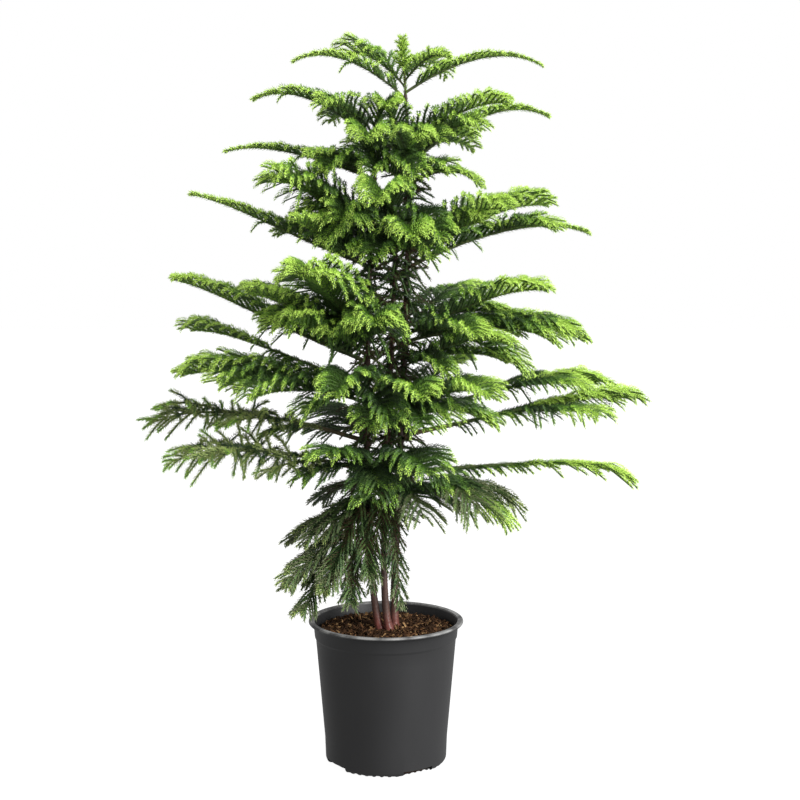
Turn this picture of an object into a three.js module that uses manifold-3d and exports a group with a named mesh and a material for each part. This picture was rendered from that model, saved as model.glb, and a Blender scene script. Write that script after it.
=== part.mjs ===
// A young Norfolk Island pine in a black nursery pot: three slim stems grown together as one
// clump, whorls of boughs that climb and arch over, and V-shaped fronds of needle sprays.
// Millimetres and degrees, +Z up. The origin is the middle of the pot's underside, and the
// front faces -Y. A bearing is counted from +X towards +Y, so 180 is left and -90 is the front.
import * as THREE from "three";
import { mergeVertices } from "three/addons/utils/BufferGeometryUtils.js";
import Module from "manifold-3d";

const wasm = await Module();
wasm.setup();

// Pot: a moulded shell with a rolled lip, a shoulder band and four drain gaps at its foot
const POT_HEIGHT = 232;
const POT_LIP_RADIUS = 125;
const POT_LIP_HEIGHT = 6;
const POT_TOP_RADIUS = 117.5;
const POT_BAND_DROP = 26;
const POT_BAND_STEP = 1.6;
const POT_FOOT_RADIUS = 97.5;
const POT_CORNER = 8;
const POT_CHAMFER = 2.4;
const POT_LIP_ROUND = 2;
const POT_BAND_SLOPE = 3;
const POT_FILLET = { radial: 4, height: 2 };
const POT_WALL = 2.2;
const POT_FLOOR = 3;
const POT_SEGMENTS = 32;
const DRAIN_GAPS = 4;
const DRAIN_BEARING = -57;
const DRAIN_SIZE = { radial: 26, along: 54, height: 18 };

// Potting mix: it fills the pot to just under the lip, flat round the stems and uneven outside
const SOIL_TOP = 215;
const SOIL_FLAT_RADIUS = 34;
const SOIL_EDGE_GAP = 0.6;
const SOIL_FILLET = 4;
const SOIL_BUMP = 3;
const SOIL_SEGMENTS = 24;
const SOIL_RINGS = 4;

// Clearance between neighbours, the least share of it that counts as clear, and the smallest facet
const GAP = 0.35;
const CLEAR_SHARE = 0.9;
const SLIVER = 0.1;
const SEED = 41;

// Stems: four control points of a smooth line, and the radius at the foot
const STEM_SIDES = 8;
const STEM_STEPS = 10;
const STEM_TIP_RADIUS = 1.1;
const STEM_FULLNESS = 1.5;
const ROOT_FLARE = 2.2;
const ROOT_FLARE_HEIGHT = 12;
const FOOT_BLOCK = { width: 120, height: 20 };
const STEMS = {
  left: { path: [[-9, -3, SOIL_TOP], [-40, -10, 310], [-34, -18, 790], [-8, -8, 1036]], radius: 5.6 },
  middle: { path: [[6, -11, SOIL_TOP], [-22, -10, 310], [26, -4, 770], [16, -2, 1020]], radius: 5.8 },
  right: { path: [[15, 6, SOIL_TOP], [4, 8, 320], [56, 16, 830], [25, 12, 1157]], radius: 6.4 },
};

// Limbs: a frond that reaches this far stands on a bough, which ends at this share of its line.
// Within a whorl each limb leaves the stem a step above the one before it.
const WHORL_STEP = 9;
const TIP_DROOP = 0.07;
const DROOP_POWER = 6;
const BOUGH_REACH = 312;
const BOUGH_SHARE = 0.2;
const FIRST_AFTER_BOUGH = 0.03;
const BOUGH_SIDES = 6;
const BOUGH_STEPS = 3;
const LIMB_THICKNESS = 0.011;
const LIMB_LEAST_RADIUS = 1.8;
const LIMB_TIP_RADIUS = 0.9;
const TWIG_SIDES = 3;
const TWIG_STEPS = 4;
const TWIG_END = 0.86;

// Sprays: toothed blades in two rows along a frond, and one at its tip
const SPRAY_PAIRS = 3;
const SPRAY_FIRST = 0.16;
const SPRAY_LAST = 0.84;
const SPRAY_SPREAD = 50;
const SPRAY_CLOSING = 10;
const SPRAY_WIDTH = 0.19;
const SPRAY_THICKNESS = 0.08;
const SPRAY_SAG = 0.26;
const SPRAY_STAGGER = 0.4;
const TIP_SPRAY_SHARE = 0.2;
const ROOT_SINK = 0.5;
const JITTER = { spread: 8, lift: 10, length: 0.14 };

// Whorls from the top down: the stem, the height, the lift of the two rows of sprays, and each
// frond's bearing, reach, climb angle at the stem, rise of its tip and longest spray.
const WHORLS = [
  { stem: "right", height: 1062, lift: 40, fronds: [
    [180, 176, 43, 57, 44], [2, 216, 35, 42, 36], [138, 124, 44, 58, 72],
    [-51, 104, 38, 26, 28], [60, 140, 36, 10, 44],
  ] },
  { stem: "left", height: 985, lift: 38, fronds: [[178, 193, 46, 73, 62]] },
  { stem: "middle", height: 985, lift: 46, fronds: [[-24, 184, 30, 62, 60]] },
  { stem: "right", height: 955, lift: 40, fronds: [[6, 226, 44, 80, 56], [88, 200, 35, 30, 56]] },
  { stem: "left", height: 935, lift: 40, fronds: [[177, 234, 23, 44, 46], [-93, 170, 36, 39, 66]] },
  { stem: "middle", height: 925, lift: 46, fronds: [[-78, 150, 40, 62, 66]] },
  { stem: "right", height: 925, lift: 20, fronds: [[-25, 126, 34, -2, 38]] },
  { stem: "left", height: 862, lift: 52, fronds: [[-138, 192, 24, 67, 86]] },
  { stem: "middle", height: 860, lift: 44, fronds: [[-97, 215, 30, 31, 76]] },
  { stem: "middle", height: 815, lift: 34, fronds: [[-82, 186, 32, 26, 66]] },
  { stem: "left", height: 800, lift: 44, fronds: [
    [181, 281, 21, 112, 64], [-145, 126, 30, 54, 76], [108, 240, 28, 45, 66],
  ] },
  { stem: "right", height: 797, lift: 42, fronds: [
    [-3, 288, 28, 54, 62], [14, 235, 34, 90, 84], [-42, 196, 34, 71, 74],
  ] },
  { stem: "right", height: 680, lift: 36, fronds: [
    [6, 291, 15, -1, 80], [-22, 234, 28, 75, 78], [62, 260, 25, 50, 66],
  ] },
  { stem: "left", height: 650, lift: 40, fronds: [
    [180, 307, 21, 130, 72], [-150, 208, 34, 105, 66],
    [-116, 212, 42, 124, 92], [146, 250, 26, 80, 70],
  ] },
  { stem: "right", height: 640, lift: 36, fronds: [[-30, 191, 30, 41, 54]] },
  { stem: "left", height: 607, lift: 38, fronds: [[171, 286, 22, 90, 76]] },
  { stem: "left", height: 585, lift: 42, fronds: [[-172, 291, 18, 46, 92], [-104, 175, 26, 16, 76]] },
  { stem: "middle", height: 575, lift: 36, fronds: [[-72, 165, 28, 30, 72]] },
  { stem: "right", height: 556, lift: 30, fronds: [
    [12, 330, 18, 50, 82], [-45, 187, 30, 38, 80], [60, 215, 28, 60, 66],
  ] },
  { stem: "right", height: 529, lift: 22, fronds: [[0, 368, 12, 60, 88]] },
  { stem: "left", height: 522, lift: 2, fronds: [[175, 352, 18, 25, 54], [112, 260, 15, 20, 70]] },
  { stem: "middle", height: 482, lift: 26, fronds: [[-68, 170, 22, 12, 84]] },
  { stem: "left", height: 474, lift: 5, fronds: [[-170, 318, 18, 19, 64], [-111, 160, 24, 40, 72]] },
  { stem: "right", height: 470, lift: 4, fronds: [[-3, 356, 5, 2, 84]] },
  { stem: "left", height: 438, lift: 26, fronds: [
    [-170, 112, -20, -62, 44], [-150, 150, -54, -138, 50], [-122, 118, -56, -140, 46],
  ] },
  { stem: "middle", height: 428, lift: 6, fronds: [
    [-21, 206, 30, -24, 84], [-104, 84, -10, -140, 46], [84, 220, 10, -50, 70],
  ] },
];

// Side fronds that fork off a frond: place on it, turn from its bearing, share of its reach, and
// how much steeper they climb. Those at the front pass under their frond, and some fronds branch in
// their own way. Each is one toothed blade, bent to a V, in the largest size that has room.
const FORKS = [[0.06, 58, 0.62, -2], [0.1, -58, 0.62, -8]];
const FRONT_FORKS = [[0.06, 34, 0.7, -18], [0.1, -34, 0.7, -22]];
const OWN_FORKS = {
  right_6_1: [[0.06, 34, 0.8, -12], [0.1, -34, 0.6, -20]],
  left_5_2: [[0.06, -40, 0.6, -14], [0.5, 30, 0.4, -6]],
  left_4_2: [[0.1, -34, 0.7, -22]],
  right_5_3: [[0.1, -58, 0.62, -8]],
  left_1_1: [[0.06, 58, 0.62, -2], [0.1, -58, 0.62, -8], [0.05, 110, 0.44, 8]],
  right_5_1: [[0.1, 58, 0.5, -8], [0.22, -30, 0.45, -24], [0.42, -30, 0.42, -10], [0.6, -28, 0.3, -10]],
  right_4_1: [[0.45, -28, 0.4, -8]],
  left_3_1: [[0.06, 34, 0.7, -18], [0.1, -24, 0.4, -8]],
  middle_4_1: [[0.06, 22, 0.6, -12], [0.1, -26, 0.6, -16]],
  middle_1_1: [[0.06, 30, 0.6, -14], [0.1, -34, 0.5, -22], [0.05, -80, 0.5, 10]],
  left_7_1: [[0.2, 30, 0.5, -10], [0.32, -34, 0.46, -14], [0.48, 30, 0.34, -12]],
  left_8_1: [[0.28, 34, 0.42, -2], [0.42, -36, 0.38, -10], [0.64, 32, 0.3, 4], [0.76, -30, 0.24, -10]],
  left_9_1: [[0.23, 30, 0.32, -10], [0.36, -34, 0.5, -8], [0.52, 34, 0.38, -4], [0.68, -34, 0.28, -8]],
  left_10_1: [[0.1, 38, 0.75, -6], [0.16, -38, 0.75, -12], [0.36, 34, 0.5, -8], [0.5, -34, 0.5, -12]],
  left_10_2: [[0.1, 38, 0.75, -2], [0.16, -38, 0.75, -4], [0.36, 34, 0.5, -8], [0.5, -34, 0.5, -12]],
  left_10_3: [[0.1, 38, 0.75, -6], [0.16, -38, 0.75, -12], [0.4, 34, 0.55, -8]],
  right_7_1: [[0.4, 34, 0.45, -2], [0.52, -34, 0.4, -6], [0.66, 34, 0.28, -6]],
  right_8_1: [[0.36, 34, 0.46, -4], [0.5, -36, 0.4, -8], [0.66, 34, 0.28, -8]],
  middle_7_1: [[0.1, -46, 0.5, -4], [0.34, 34, 0.5, -6], [0.46, -34, 0.46, -10], [0.62, 34, 0.36, -10]],
};
const FORK_REACH = [80, 175];
const FORK_SPRAY = 0.6;
const FORK_THICKNESS = 0.045;
const FORK_SIZES = [1, 0.8, 0.6, 0.45];
const FRONT_SECTOR = -0.3;

// Fronds that draw out to a thin tail, that are bushy only at their end, and that have no side fronds
const TAILED_FRONDS = [
  "right_1_1", "right_1_2", "left_1_1", "right_2_1", "left_2_1", "left_4_1", "right_4_1",
];
const CLUBBED_FRONDS = ["left_6_1", "left_8_1", "right_7_1", "right_8_1", "right_9_1"];
const PLAIN_FRONDS = [
  "right_1_1", "right_1_2", "right_1_3", "right_1_4", "right_1_5", "right_3_1", "right_4_3", "right_9_1",
  "left_6_1",
];

// Fronds whose outer part rolls over: how far, from where and over what share of the line
const ROLLS = { left_8_1: 72, left_9_1: 60, left_10_1: 35, left_10_2: 40 };
const ROLL_FROM = 0.4;
const ROLL_OVER = 0.35;

const UP = new THREE.Vector3(0, 0, 1);
const radians = THREE.MathUtils.degToRad;
const lerp = THREE.MathUtils.lerp;

const materials = {
  pot: new THREE.MeshStandardMaterial({ color: 0x2b2c2e, roughness: 0.55, metalness: 0 }),
  soil: new THREE.MeshStandardMaterial({ color: 0x38231a, roughness: 0.95, metalness: 0 }),
  bark: new THREE.MeshStandardMaterial({ color: 0x5a3a2c, roughness: 0.8, metalness: 0 }),
  bough: new THREE.MeshStandardMaterial({ color: 0x54552f, roughness: 0.8, metalness: 0 }),
  young: new THREE.MeshStandardMaterial({ color: 0x6f9f34, roughness: 0.6, metalness: 0 }),
  grown: new THREE.MeshStandardMaterial({ color: 0x47742c, roughness: 0.6, metalness: 0 }),
  old: new THREE.MeshStandardMaterial({ color: 0x35552f, roughness: 0.65, metalness: 0 }),
};
const YOUNG_ABOVE = 880;
const OLD_BELOW = 540;

// Random numbers between 0 and 1 that repeat from run to run
function seeded(seed) {
  let state = seed;
  return () => {
    state = (state + 0x6d2b79f5) | 0;
    let mixed = Math.imul(state ^ (state >>> 15), 1 | state);
    mixed = (mixed + Math.imul(mixed ^ (mixed >>> 7), 61 | mixed)) ^ mixed;
    return ((mixed ^ (mixed >>> 14)) >>> 0) / 4294967296;
  };
}

// A geometry with nothing but its places, and one vertex at each
const MERGE_REACH = 1e-4;

function merged(geometry) {
  const bare = geometry.clone();
  bare.deleteAttribute("normal");
  bare.deleteAttribute("uv");
  return mergeVertices(bare, MERGE_REACH);
}

function toSolid(geometry) {
  const { attributes, index } = merged(geometry);
  return new wasm.Manifold(
    new wasm.Mesh({
      numProp: 3,
      vertProperties: new Float32Array(attributes.position.array),
      triVerts: new Uint32Array(index.array),
    }),
  );
}

// The largest body of a solid, so that no loose scrap of a cut is left
function mainBody(solid) {
  return solid.decompose().reduce((best, body) => (body.volume() > best.volume() ? body : best));
}

function toMesh(name, solid, material) {
  const { vertProperties, triVerts } = solid.getMesh();
  const geometry = new THREE.BufferGeometry();
  geometry.setAttribute("position", new THREE.BufferAttribute(vertProperties, 3));
  geometry.setIndex(new THREE.BufferAttribute(triVerts, 1));
  geometry.computeVertexNormals();
  const mesh = new THREE.Mesh(geometry, material);
  mesh.name = name;
  return mesh;
}

// A curve's point, its tangent, and two directions across it: side, and the one nearest to "up"
function frameAt(curve, t, up) {
  const point = curve.getPoint(t);
  const tangent = curve.getTangent(t).normalize();
  const lift = up.clone().addScaledVector(tangent, -up.dot(tangent)).normalize();
  const side = tangent.clone().cross(lift);
  return { point, tangent, side, lift };
}

// A closed, tapering limb: a cylinder bent along a stretch of a curve
function limb(curve, radiusAt, { sides, steps, from = 0, to = 1, up = UP }) {
  const tube = new THREE.CylinderGeometry(1, 1, 1, sides, steps);
  const place = tube.attributes.position;
  for (let i = 0; i < place.count; i++) {
    const t = lerp(from, to, place.getY(i) + 0.5);
    const { point, side, lift } = frameAt(curve, t, up);
    point.addScaledVector(side, place.getX(i) * radiusAt(t));
    point.addScaledVector(lift, place.getZ(i) * radiusAt(t));
    place.setXYZ(i, point.x, point.y, point.z);
  }
  return toSolid(tube);
}

// Pot and potting mix
function turned(profile, segments) {
  const points = profile.map(([radius, height]) => new THREE.Vector2(radius, height));
  return new THREE.LatheGeometry(points, segments).rotateX(Math.PI / 2);
}

const wallRadius = (height) => lerp(POT_FOOT_RADIUS, POT_TOP_RADIUS, height / POT_HEIGHT);

function potShell() {
  const lipFoot = POT_HEIGHT - POT_LIP_HEIGHT;
  const bandFoot = POT_HEIGHT - POT_BAND_DROP;
  const wallTop = bandFoot - POT_BAND_SLOPE;
  const outside = [
    [0, 0],
    [POT_FOOT_RADIUS - POT_CORNER, 0],
    [POT_FOOT_RADIUS - POT_CHAMFER, POT_CHAMFER],
    [wallRadius(POT_CORNER), POT_CORNER],
    [wallRadius(wallTop) - POT_BAND_STEP, wallTop],
    [wallRadius(bandFoot), bandFoot],
    [wallRadius(lipFoot), lipFoot],
    [POT_LIP_RADIUS - POT_LIP_ROUND, lipFoot],
    [POT_LIP_RADIUS, lipFoot + POT_LIP_ROUND],
    [POT_LIP_RADIUS, POT_HEIGHT - POT_LIP_ROUND],
    [POT_LIP_RADIUS - POT_LIP_ROUND, POT_HEIGHT],
  ];
  const inside = [
    [POT_TOP_RADIUS - POT_WALL, POT_HEIGHT],
    [wallRadius(wallTop) - POT_BAND_STEP - POT_WALL, wallTop],
    [wallRadius(POT_FLOOR) - POT_WALL, POT_FLOOR + POT_FILLET.height],
    [wallRadius(POT_FLOOR) - POT_WALL - POT_FILLET.radial, POT_FLOOR],
    [0, POT_FLOOR],
  ];
  let shell = toSolid(turned([...outside, ...inside], POT_SEGMENTS));
  for (let i = 0; i < DRAIN_GAPS; i++) {
    const gap = new THREE.BoxGeometry(DRAIN_SIZE.radial, DRAIN_SIZE.along, DRAIN_SIZE.height);
    gap.translate(POT_FOOT_RADIUS, 0, 0);
    gap.rotateZ(radians(DRAIN_BEARING + (360 / DRAIN_GAPS) * i));
    shell = shell.subtract(toSolid(gap));
  }
  return mainBody(shell);
}

function pottingMix(random) {
  const inset = POT_WALL + POT_BAND_STEP + GAP;
  const foot = POT_FLOOR + GAP;
  const edge = wallRadius(SOIL_TOP) - inset - SOIL_EDGE_GAP;
  const side = wallRadius(foot) - inset;
  const profile = [[0, foot], [side - SOIL_FILLET, foot], [side, foot + SOIL_FILLET]];
  for (let ring = 0; ring <= SOIL_RINGS; ring++) {
    profile.push([lerp(edge, SOIL_FLAT_RADIUS, ring / SOIL_RINGS), SOIL_TOP]);
  }
  profile.push([0, SOIL_TOP]);
  const ball = merged(turned(profile, SOIL_SEGMENTS));
  const place = ball.attributes.position;
  for (let i = 0; i < place.count; i++) {
    const outside = Math.hypot(place.getX(i), place.getY(i)) > SOIL_FLAT_RADIUS + 1;
    const onTop = place.getZ(i) > SOIL_TOP - 1;
    if (onTop && outside) place.setZ(i, SOIL_TOP + SOIL_BUMP * (random() - 0.5));
  }
  return toSolid(ball);
}

// Stems
const FRONT = new THREE.Vector3(0, -1, 0);

function stemLine({ path, radius }) {
  const curve = new THREE.CubicBezierCurve3(...path.map((p) => new THREE.Vector3(...p)));
  const radiusAt = (t) => {
    const flare = ROOT_FLARE * Math.exp(-(curve.getPoint(t).z - SOIL_TOP) / ROOT_FLARE_HEIGHT);
    return lerp(radius, STEM_TIP_RADIUS, t ** STEM_FULLNESS) + flare;
  };
  return { curve, radiusAt };
}

// A stem's foot, cut level just clear of the potting mix
function levelFoot(solid) {
  const { width, height } = FOOT_BLOCK;
  const under = new THREE.BoxGeometry(width, width, height).translate(0, 0, SOIL_TOP + GAP - height / 2);
  return mainBody(solid.subtract(toSolid(under)));
}

// The place on a stem's line at a given height, found by halving the stretch that holds it
const HALVINGS = 30;

function stemAt(curve, height) {
  let low = 0;
  let high = 1;
  for (let i = 0; i < HALVINGS; i++) {
    const middle = (low + high) / 2;
    if (curve.getPoint(middle).z < height) low = middle;
    else high = middle;
  }
  return curve.getPoint(low);
}

// A frond's line: it leaves the stem at its climb angle, bends evenly, and droops near its tip
class FrondLine extends THREE.Curve {
  constructor(foot, { bearing, reach, climb, rise }) {
    super();
    this.foot = foot;
    this.out = new THREE.Vector3(Math.cos(radians(bearing)), Math.sin(radians(bearing)), 0);
    this.reach = reach;
    this.start = Math.tan(radians(climb)) * reach;
    this.rise = rise;
    this.thick = Math.max(LIMB_LEAST_RADIUS, LIMB_THICKNESS * reach);
  }

  getPoint(t, target = new THREE.Vector3()) {
    const droop = TIP_DROOP * this.reach;
    const height = this.start * t + (this.rise + droop - this.start) * t ** 2 - droop * t ** DROOP_POWER;
    return target.copy(this.foot).addScaledVector(this.out, this.reach * t).addScaledVector(UP, height);
  }

  limb(shape) {
    return limb(this, (t) => lerp(this.thick, LIMB_TIP_RADIUS, t), shape);
  }
}

// A toothed blade: a two-band sphere whose equator is pulled out into the outline. Going round from
// the root, each pair is a share of the length and of the half width. Its edges may be raised.
const SPRAY_OUTLINE = [[0, 0], [0.32, 1], [0.54, 0.5], [1, 0]];
const FORK_OUTLINE = [[0, 0], [0.3, 1], [0.42, 0.55], [0.72, 0.95], [1, 0]];
const BLADE_MIDDLE = 0.42;

function blade(outline, { length, width, thickness, raise = 0 }) {
  const half = outline.length - 1;
  const around = 2 * half;
  const sheet = new THREE.SphereGeometry(1, around, 2);
  const place = sheet.attributes.position;
  for (let i = 0; i < place.count; i++) {
    const pole = place.getY(i);
    if (Math.abs(pole) > 0.5) {
      place.setXYZ(i, BLADE_MIDDLE * length, Math.sign(pole) * 0.5 * thickness, 0);
      continue;
    }
    const turn = Math.atan2(place.getZ(i), -place.getX(i)) / (2 * Math.PI);
    const step = (Math.round(turn * around) + around) % around;
    const [along, across] = outline[step <= half ? step : around - step];
    const sign = step <= half ? 1 : -1;
    place.setXYZ(i, along * length, across * raise, sign * across * width);
  }
  return sheet;
}

// A blade set with its root sunk in a limb, along "direction" and with its width along "widthLine"
function placedBlade(outline, shape, root, direction, widthLine) {
  const along = direction.clone().normalize();
  const across = widthLine.clone().addScaledVector(along, -widthLine.dot(along)).normalize();
  const sunk = root.clone().addScaledVector(along, -ROOT_SINK);
  const matrix = new THREE.Matrix4().makeBasis(along, across.clone().cross(along), across).setPosition(sunk);
  return toSolid(blade(outline, shape).applyMatrix4(matrix));
}

function placedSpray(root, direction, widthLine, reach) {
  const length = reach + ROOT_SINK;
  const shape = { length, width: SPRAY_WIDTH * length, thickness: SPRAY_THICKNESS * length };
  return placedBlade(SPRAY_OUTLINE, shape, root, direction, widthLine);
}

// How long a spray is along a frond, as a share of the longest: blunt at the frond's end, bushy only
// there, or drawn out to a rope of short sprays
const FOOT_SHARE = { least: 0.7, growth: 1.5 };
const BLUNT_END = { power: 4.5, root: 0.65 };
const CLUB = { least: 0.36, from: 0.6, over: 0.25, power: 9, root: 0.5 };
const TAIL = { least: 0.2, size: 1.25, root: 0.85 };

function sprayShare(t, label) {
  const foot = Math.min(1, FOOT_SHARE.least + FOOT_SHARE.growth * t);
  if (CLUBBED_FRONDS.includes(label)) {
    const share = lerp(CLUB.least, 1, THREE.MathUtils.clamp((t - CLUB.from) / CLUB.over, 0, 1));
    return share * (1 - t ** CLUB.power) ** CLUB.root;
  }
  if (TAILED_FRONDS.includes(label)) return Math.max(TAIL.least, foot * TAIL.size * (1 - t) ** TAIL.root);
  return foot * (1 - t ** BLUNT_END.power) ** BLUNT_END.root;
}

// The two directions across a frond, turned about its line where its outer part rolls over
function rolled(label, t, side, above) {
  const share = THREE.MathUtils.clamp((t - ROLL_FROM) / ROLL_OVER, 0, 1);
  const roll = radians((ROLLS[label] ?? 0) * share);
  return [
    side.clone().multiplyScalar(Math.cos(roll)).addScaledVector(above, Math.sin(roll)),
    above.clone().multiplyScalar(Math.cos(roll)).addScaledVector(side, -Math.sin(roll)),
  ];
}

// A frond's sprays, from its tip inwards
function sprayRows({ label, line, spray, lift, first }, random) {
  const tip = frameAt(line, 1 - TIP_SPRAY_SHARE, UP);
  const toTip = line.getPoint(1).sub(tip.point);
  const found = [placedSpray(tip.point, toTip, tip.side, toTip.length())];
  for (let pair = SPRAY_PAIRS - 1; pair >= 0; pair--) {
    for (const hand of [1, -1]) {
      const slot = (pair + (hand > 0 ? 0 : SPRAY_STAGGER)) / SPRAY_PAIRS;
      const t = lerp(first, SPRAY_LAST, slot);
      const { point, tangent, side: level, lift: upward } = frameAt(line, t, UP);
      const [side, above] = rolled(label, t, level, upward);
      const spread = radians(SPRAY_SPREAD - SPRAY_CLOSING * t + JITTER.spread * (random() - 0.5));
      const raised = radians(lift + JITTER.lift * (random() - 0.5));
      const across = side.multiplyScalar(hand * Math.cos(raised)).addScaledVector(above, Math.sin(raised));
      const direction = across.multiplyScalar(Math.sin(spread)).addScaledVector(tangent, Math.cos(spread));
      direction.z -= SPRAY_SAG;
      const reach = spray * sprayShare(t, label) * (1 + JITTER.length * (random() - 0.5));
      found.push(placedSpray(point, direction, tangent, reach * direction.length()));
    }
  }
  return found;
}

function forksOf(label, bearing) {
  if (label in OWN_FORKS) return OWN_FORKS[label];
  if (PLAIN_FRONDS.includes(label)) return [];
  return Math.sin(radians(bearing)) < FRONT_SECTOR ? FRONT_FORKS : FORKS;
}

// The side fronds of a frond, turned to the other hand on every second one of a whorl. For each
// there are several solids to choose from, the largest first.
function forkBlades({ label, line, shape, lift, bough, first }, i) {
  return forksOf(label, shape.bearing).map(([place, turn, share, steeper]) => {
    const reach = THREE.MathUtils.clamp(share * shape.reach, ...FORK_REACH);
    const foot = line.getPoint(bough ? Math.max(place, first) : place);
    const fork = new FrondLine(foot, {
      bearing: shape.bearing + turn * (-1) ** i,
      reach,
      climb: shape.climb + steeper,
      rise: (shape.rise / shape.reach + Math.tan(radians(steeper))) * reach,
    });
    const chord = fork.getPoint(1).sub(foot);
    const level = chord.clone().cross(UP);
    return FORK_SIZES.map((size) => {
      const row = FORK_SPRAY * shape.spray * size;
      const length = chord.length() * size + ROOT_SINK;
      const blade = {
        length,
        width: row * Math.cos(radians(lift)),
        raise: row * Math.sin(radians(lift)),
        thickness: FORK_THICKNESS * length,
      };
      return placedBlade(FORK_OUTLINE, blade, foot, chord, level);
    });
  });
}

// The plant, put together: stems, then every limb, then the sprays that keep clear of all the rest
const plant = new THREE.Group();
const random = seeded(SEED);

const pot = potShell();
const soil = pottingMix(random);
plant.add(toMesh("pot", pot, materials.pot));
plant.add(toMesh("soil", soil, materials.soil));

const stems = {};
for (const [name, spec] of Object.entries(STEMS)) {
  const { curve, radiusAt } = stemLine(spec);
  const shape = { sides: STEM_SIDES, steps: STEM_STEPS, up: FRONT };
  stems[name] = {
    curve,
    solid: levelFoot(limb(curve, radiusAt, shape)),
    clear: limb(curve, (t) => radiusAt(t) + GAP, shape),
  };
  plant.add(toMesh(`stem_${name}`, stems[name].solid, materials.bark));
}

const fronds = [];
const whorlsOn = { left: 0, middle: 0, right: 0 };
for (const { stem: name, height, lift, fronds: shapes } of WHORLS) {
  whorlsOn[name] += 1;
  shapes.forEach(([bearing, reach, climb, rise, spray], i) => {
    const stem = stems[name];
    const shape = { bearing, reach, climb, rise, spray };
    const label = `${name}_${whorlsOn[name]}_${i + 1}`;
    const line = new FrondLine(stemAt(stem.curve, height + WHORL_STEP * i), shape);
    const frond = { label, height, lift, spray, line, shape };
    frond.first = SPRAY_FIRST;
    let start = 0;
    if (reach >= BOUGH_REACH) {
      const bough = line.limb({ sides: BOUGH_SIDES, steps: BOUGH_STEPS, to: BOUGH_SHARE });
      frond.bough = mainBody(bough.subtract(stem.clear));
      frond.first = BOUGH_SHARE + FIRST_AFTER_BOUGH;
      start = BOUGH_SHARE + GAP / reach;
    }
    const twig = line.limb({ sides: TWIG_SIDES, steps: TWIG_STEPS, from: start, to: TWIG_END });
    frond.twig = mainBody(twig.subtract(stem.clear));
    frond.forks = forkBlades(frond, i);
    fronds.push(frond);
  });
}

// A solid is clear of the others when none of theirs is nearer than the gap
function boxesNear(a, b) {
  return [0, 1, 2].every((k) => a.min[k] <= b.max[k] + GAP && b.min[k] <= a.max[k] + GAP);
}

function isClear(solid, owner, others) {
  const box = solid.boundingBox();
  const near = others.filter((other) => other.owner !== owner && boxesNear(box, other.box));
  return near.every((other) => solid.minGap(other.solid, GAP) >= CLEAR_SHARE * GAP);
}

const taken = [];
const take = (solid, owner) => taken.push({ solid, owner, box: solid.boundingBox() });
[pot, soil, ...Object.values(stems).map((stem) => stem.solid)].forEach((solid) => take(solid, null));
for (const frond of fronds) {
  if (frond.bough) take(frond.bough, null);
  take(frond.twig, frond);
}

for (const frond of fronds) {
  frond.kept = [];
  frond.waiting = [...sprayRows(frond, random).map((spray) => [spray]), ...frond.forks];
}
const longest = Math.max(...fronds.map((frond) => frond.waiting.length));
for (let turn = 0; turn < longest; turn++) {
  for (const frond of fronds) {
    const sizes = frond.waiting[turn] ?? [];
    const free = sizes.find((solid) => isClear(solid, frond, taken));
    if (!free) continue;
    frond.kept.push(free);
    take(free, frond);
  }
}

function needlesAt(height) {
  if (height > YOUNG_ABOVE) return materials.young;
  return height > OLD_BELOW ? materials.grown : materials.old;
}

for (const { label, height, bough, twig, kept } of fronds) {
  if (bough) plant.add(toMesh(`bough_${label}`, bough, materials.bough));
  const mass = mainBody(wasm.Manifold.union([twig, ...kept]).simplify(SLIVER));
  plant.add(toMesh(`foliage_${label}`, mass, needlesAt(height)));
}

export default plant;
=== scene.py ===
"""A young Norfolk Island pine in a black nursery pot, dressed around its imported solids.

Sizes are named in millimetres and turned into metres by MM. A bearing is counted in degrees from
+X towards +Y, so 180 is left and -90 is the front. Stems, whorls and frond lines follow the same
rule as the solids, and the fronds carry it on to twigs and single needles.
"""
import math
from dataclasses import dataclass

import bpy
import numpy as np
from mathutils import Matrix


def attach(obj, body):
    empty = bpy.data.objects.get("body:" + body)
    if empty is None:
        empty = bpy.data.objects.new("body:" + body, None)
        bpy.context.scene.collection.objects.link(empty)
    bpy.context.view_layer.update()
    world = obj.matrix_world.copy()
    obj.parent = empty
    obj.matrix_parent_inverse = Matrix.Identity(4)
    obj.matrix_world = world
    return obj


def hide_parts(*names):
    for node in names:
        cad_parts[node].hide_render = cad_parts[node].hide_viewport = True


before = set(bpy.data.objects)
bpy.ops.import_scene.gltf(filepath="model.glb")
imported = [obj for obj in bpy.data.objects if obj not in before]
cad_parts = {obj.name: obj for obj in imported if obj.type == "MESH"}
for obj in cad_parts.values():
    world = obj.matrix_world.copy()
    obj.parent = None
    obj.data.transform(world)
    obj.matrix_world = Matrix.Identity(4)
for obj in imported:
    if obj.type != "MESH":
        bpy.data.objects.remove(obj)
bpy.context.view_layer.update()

MM = 0.001
SEED = 41
UP = np.array([0.0, 0.0, 1.0])
GOLDEN_TURN = math.radians(137.508)

# Camera, floor and lights, in metres, degrees and watts
CAMERA_PLACE = (0.0227, -2.4, 0.84)
CAMERA_PITCH = 6.0
CAMERA_LENS = 68.13
SENSOR_WIDTH = 36.0
WHITE = (1.0, 1.0, 1.0, 1.0)
FLOOR_GLOW = (0.4, 0.97)
FLOOR_REACH = 12.0
FLOOR_DROP = 0.0004
WORLD_LIGHT = 0.56
SUN = {"power": 4.9, "spread": 38, "from": (1.3, -0.9, 1.15)}
SOFT_BOX = {"power": 32.0, "size": (0.9, 1.6), "place": (1.6, -1.7, 0.8), "from": (1.6, -1.7, 0.3)}

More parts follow.
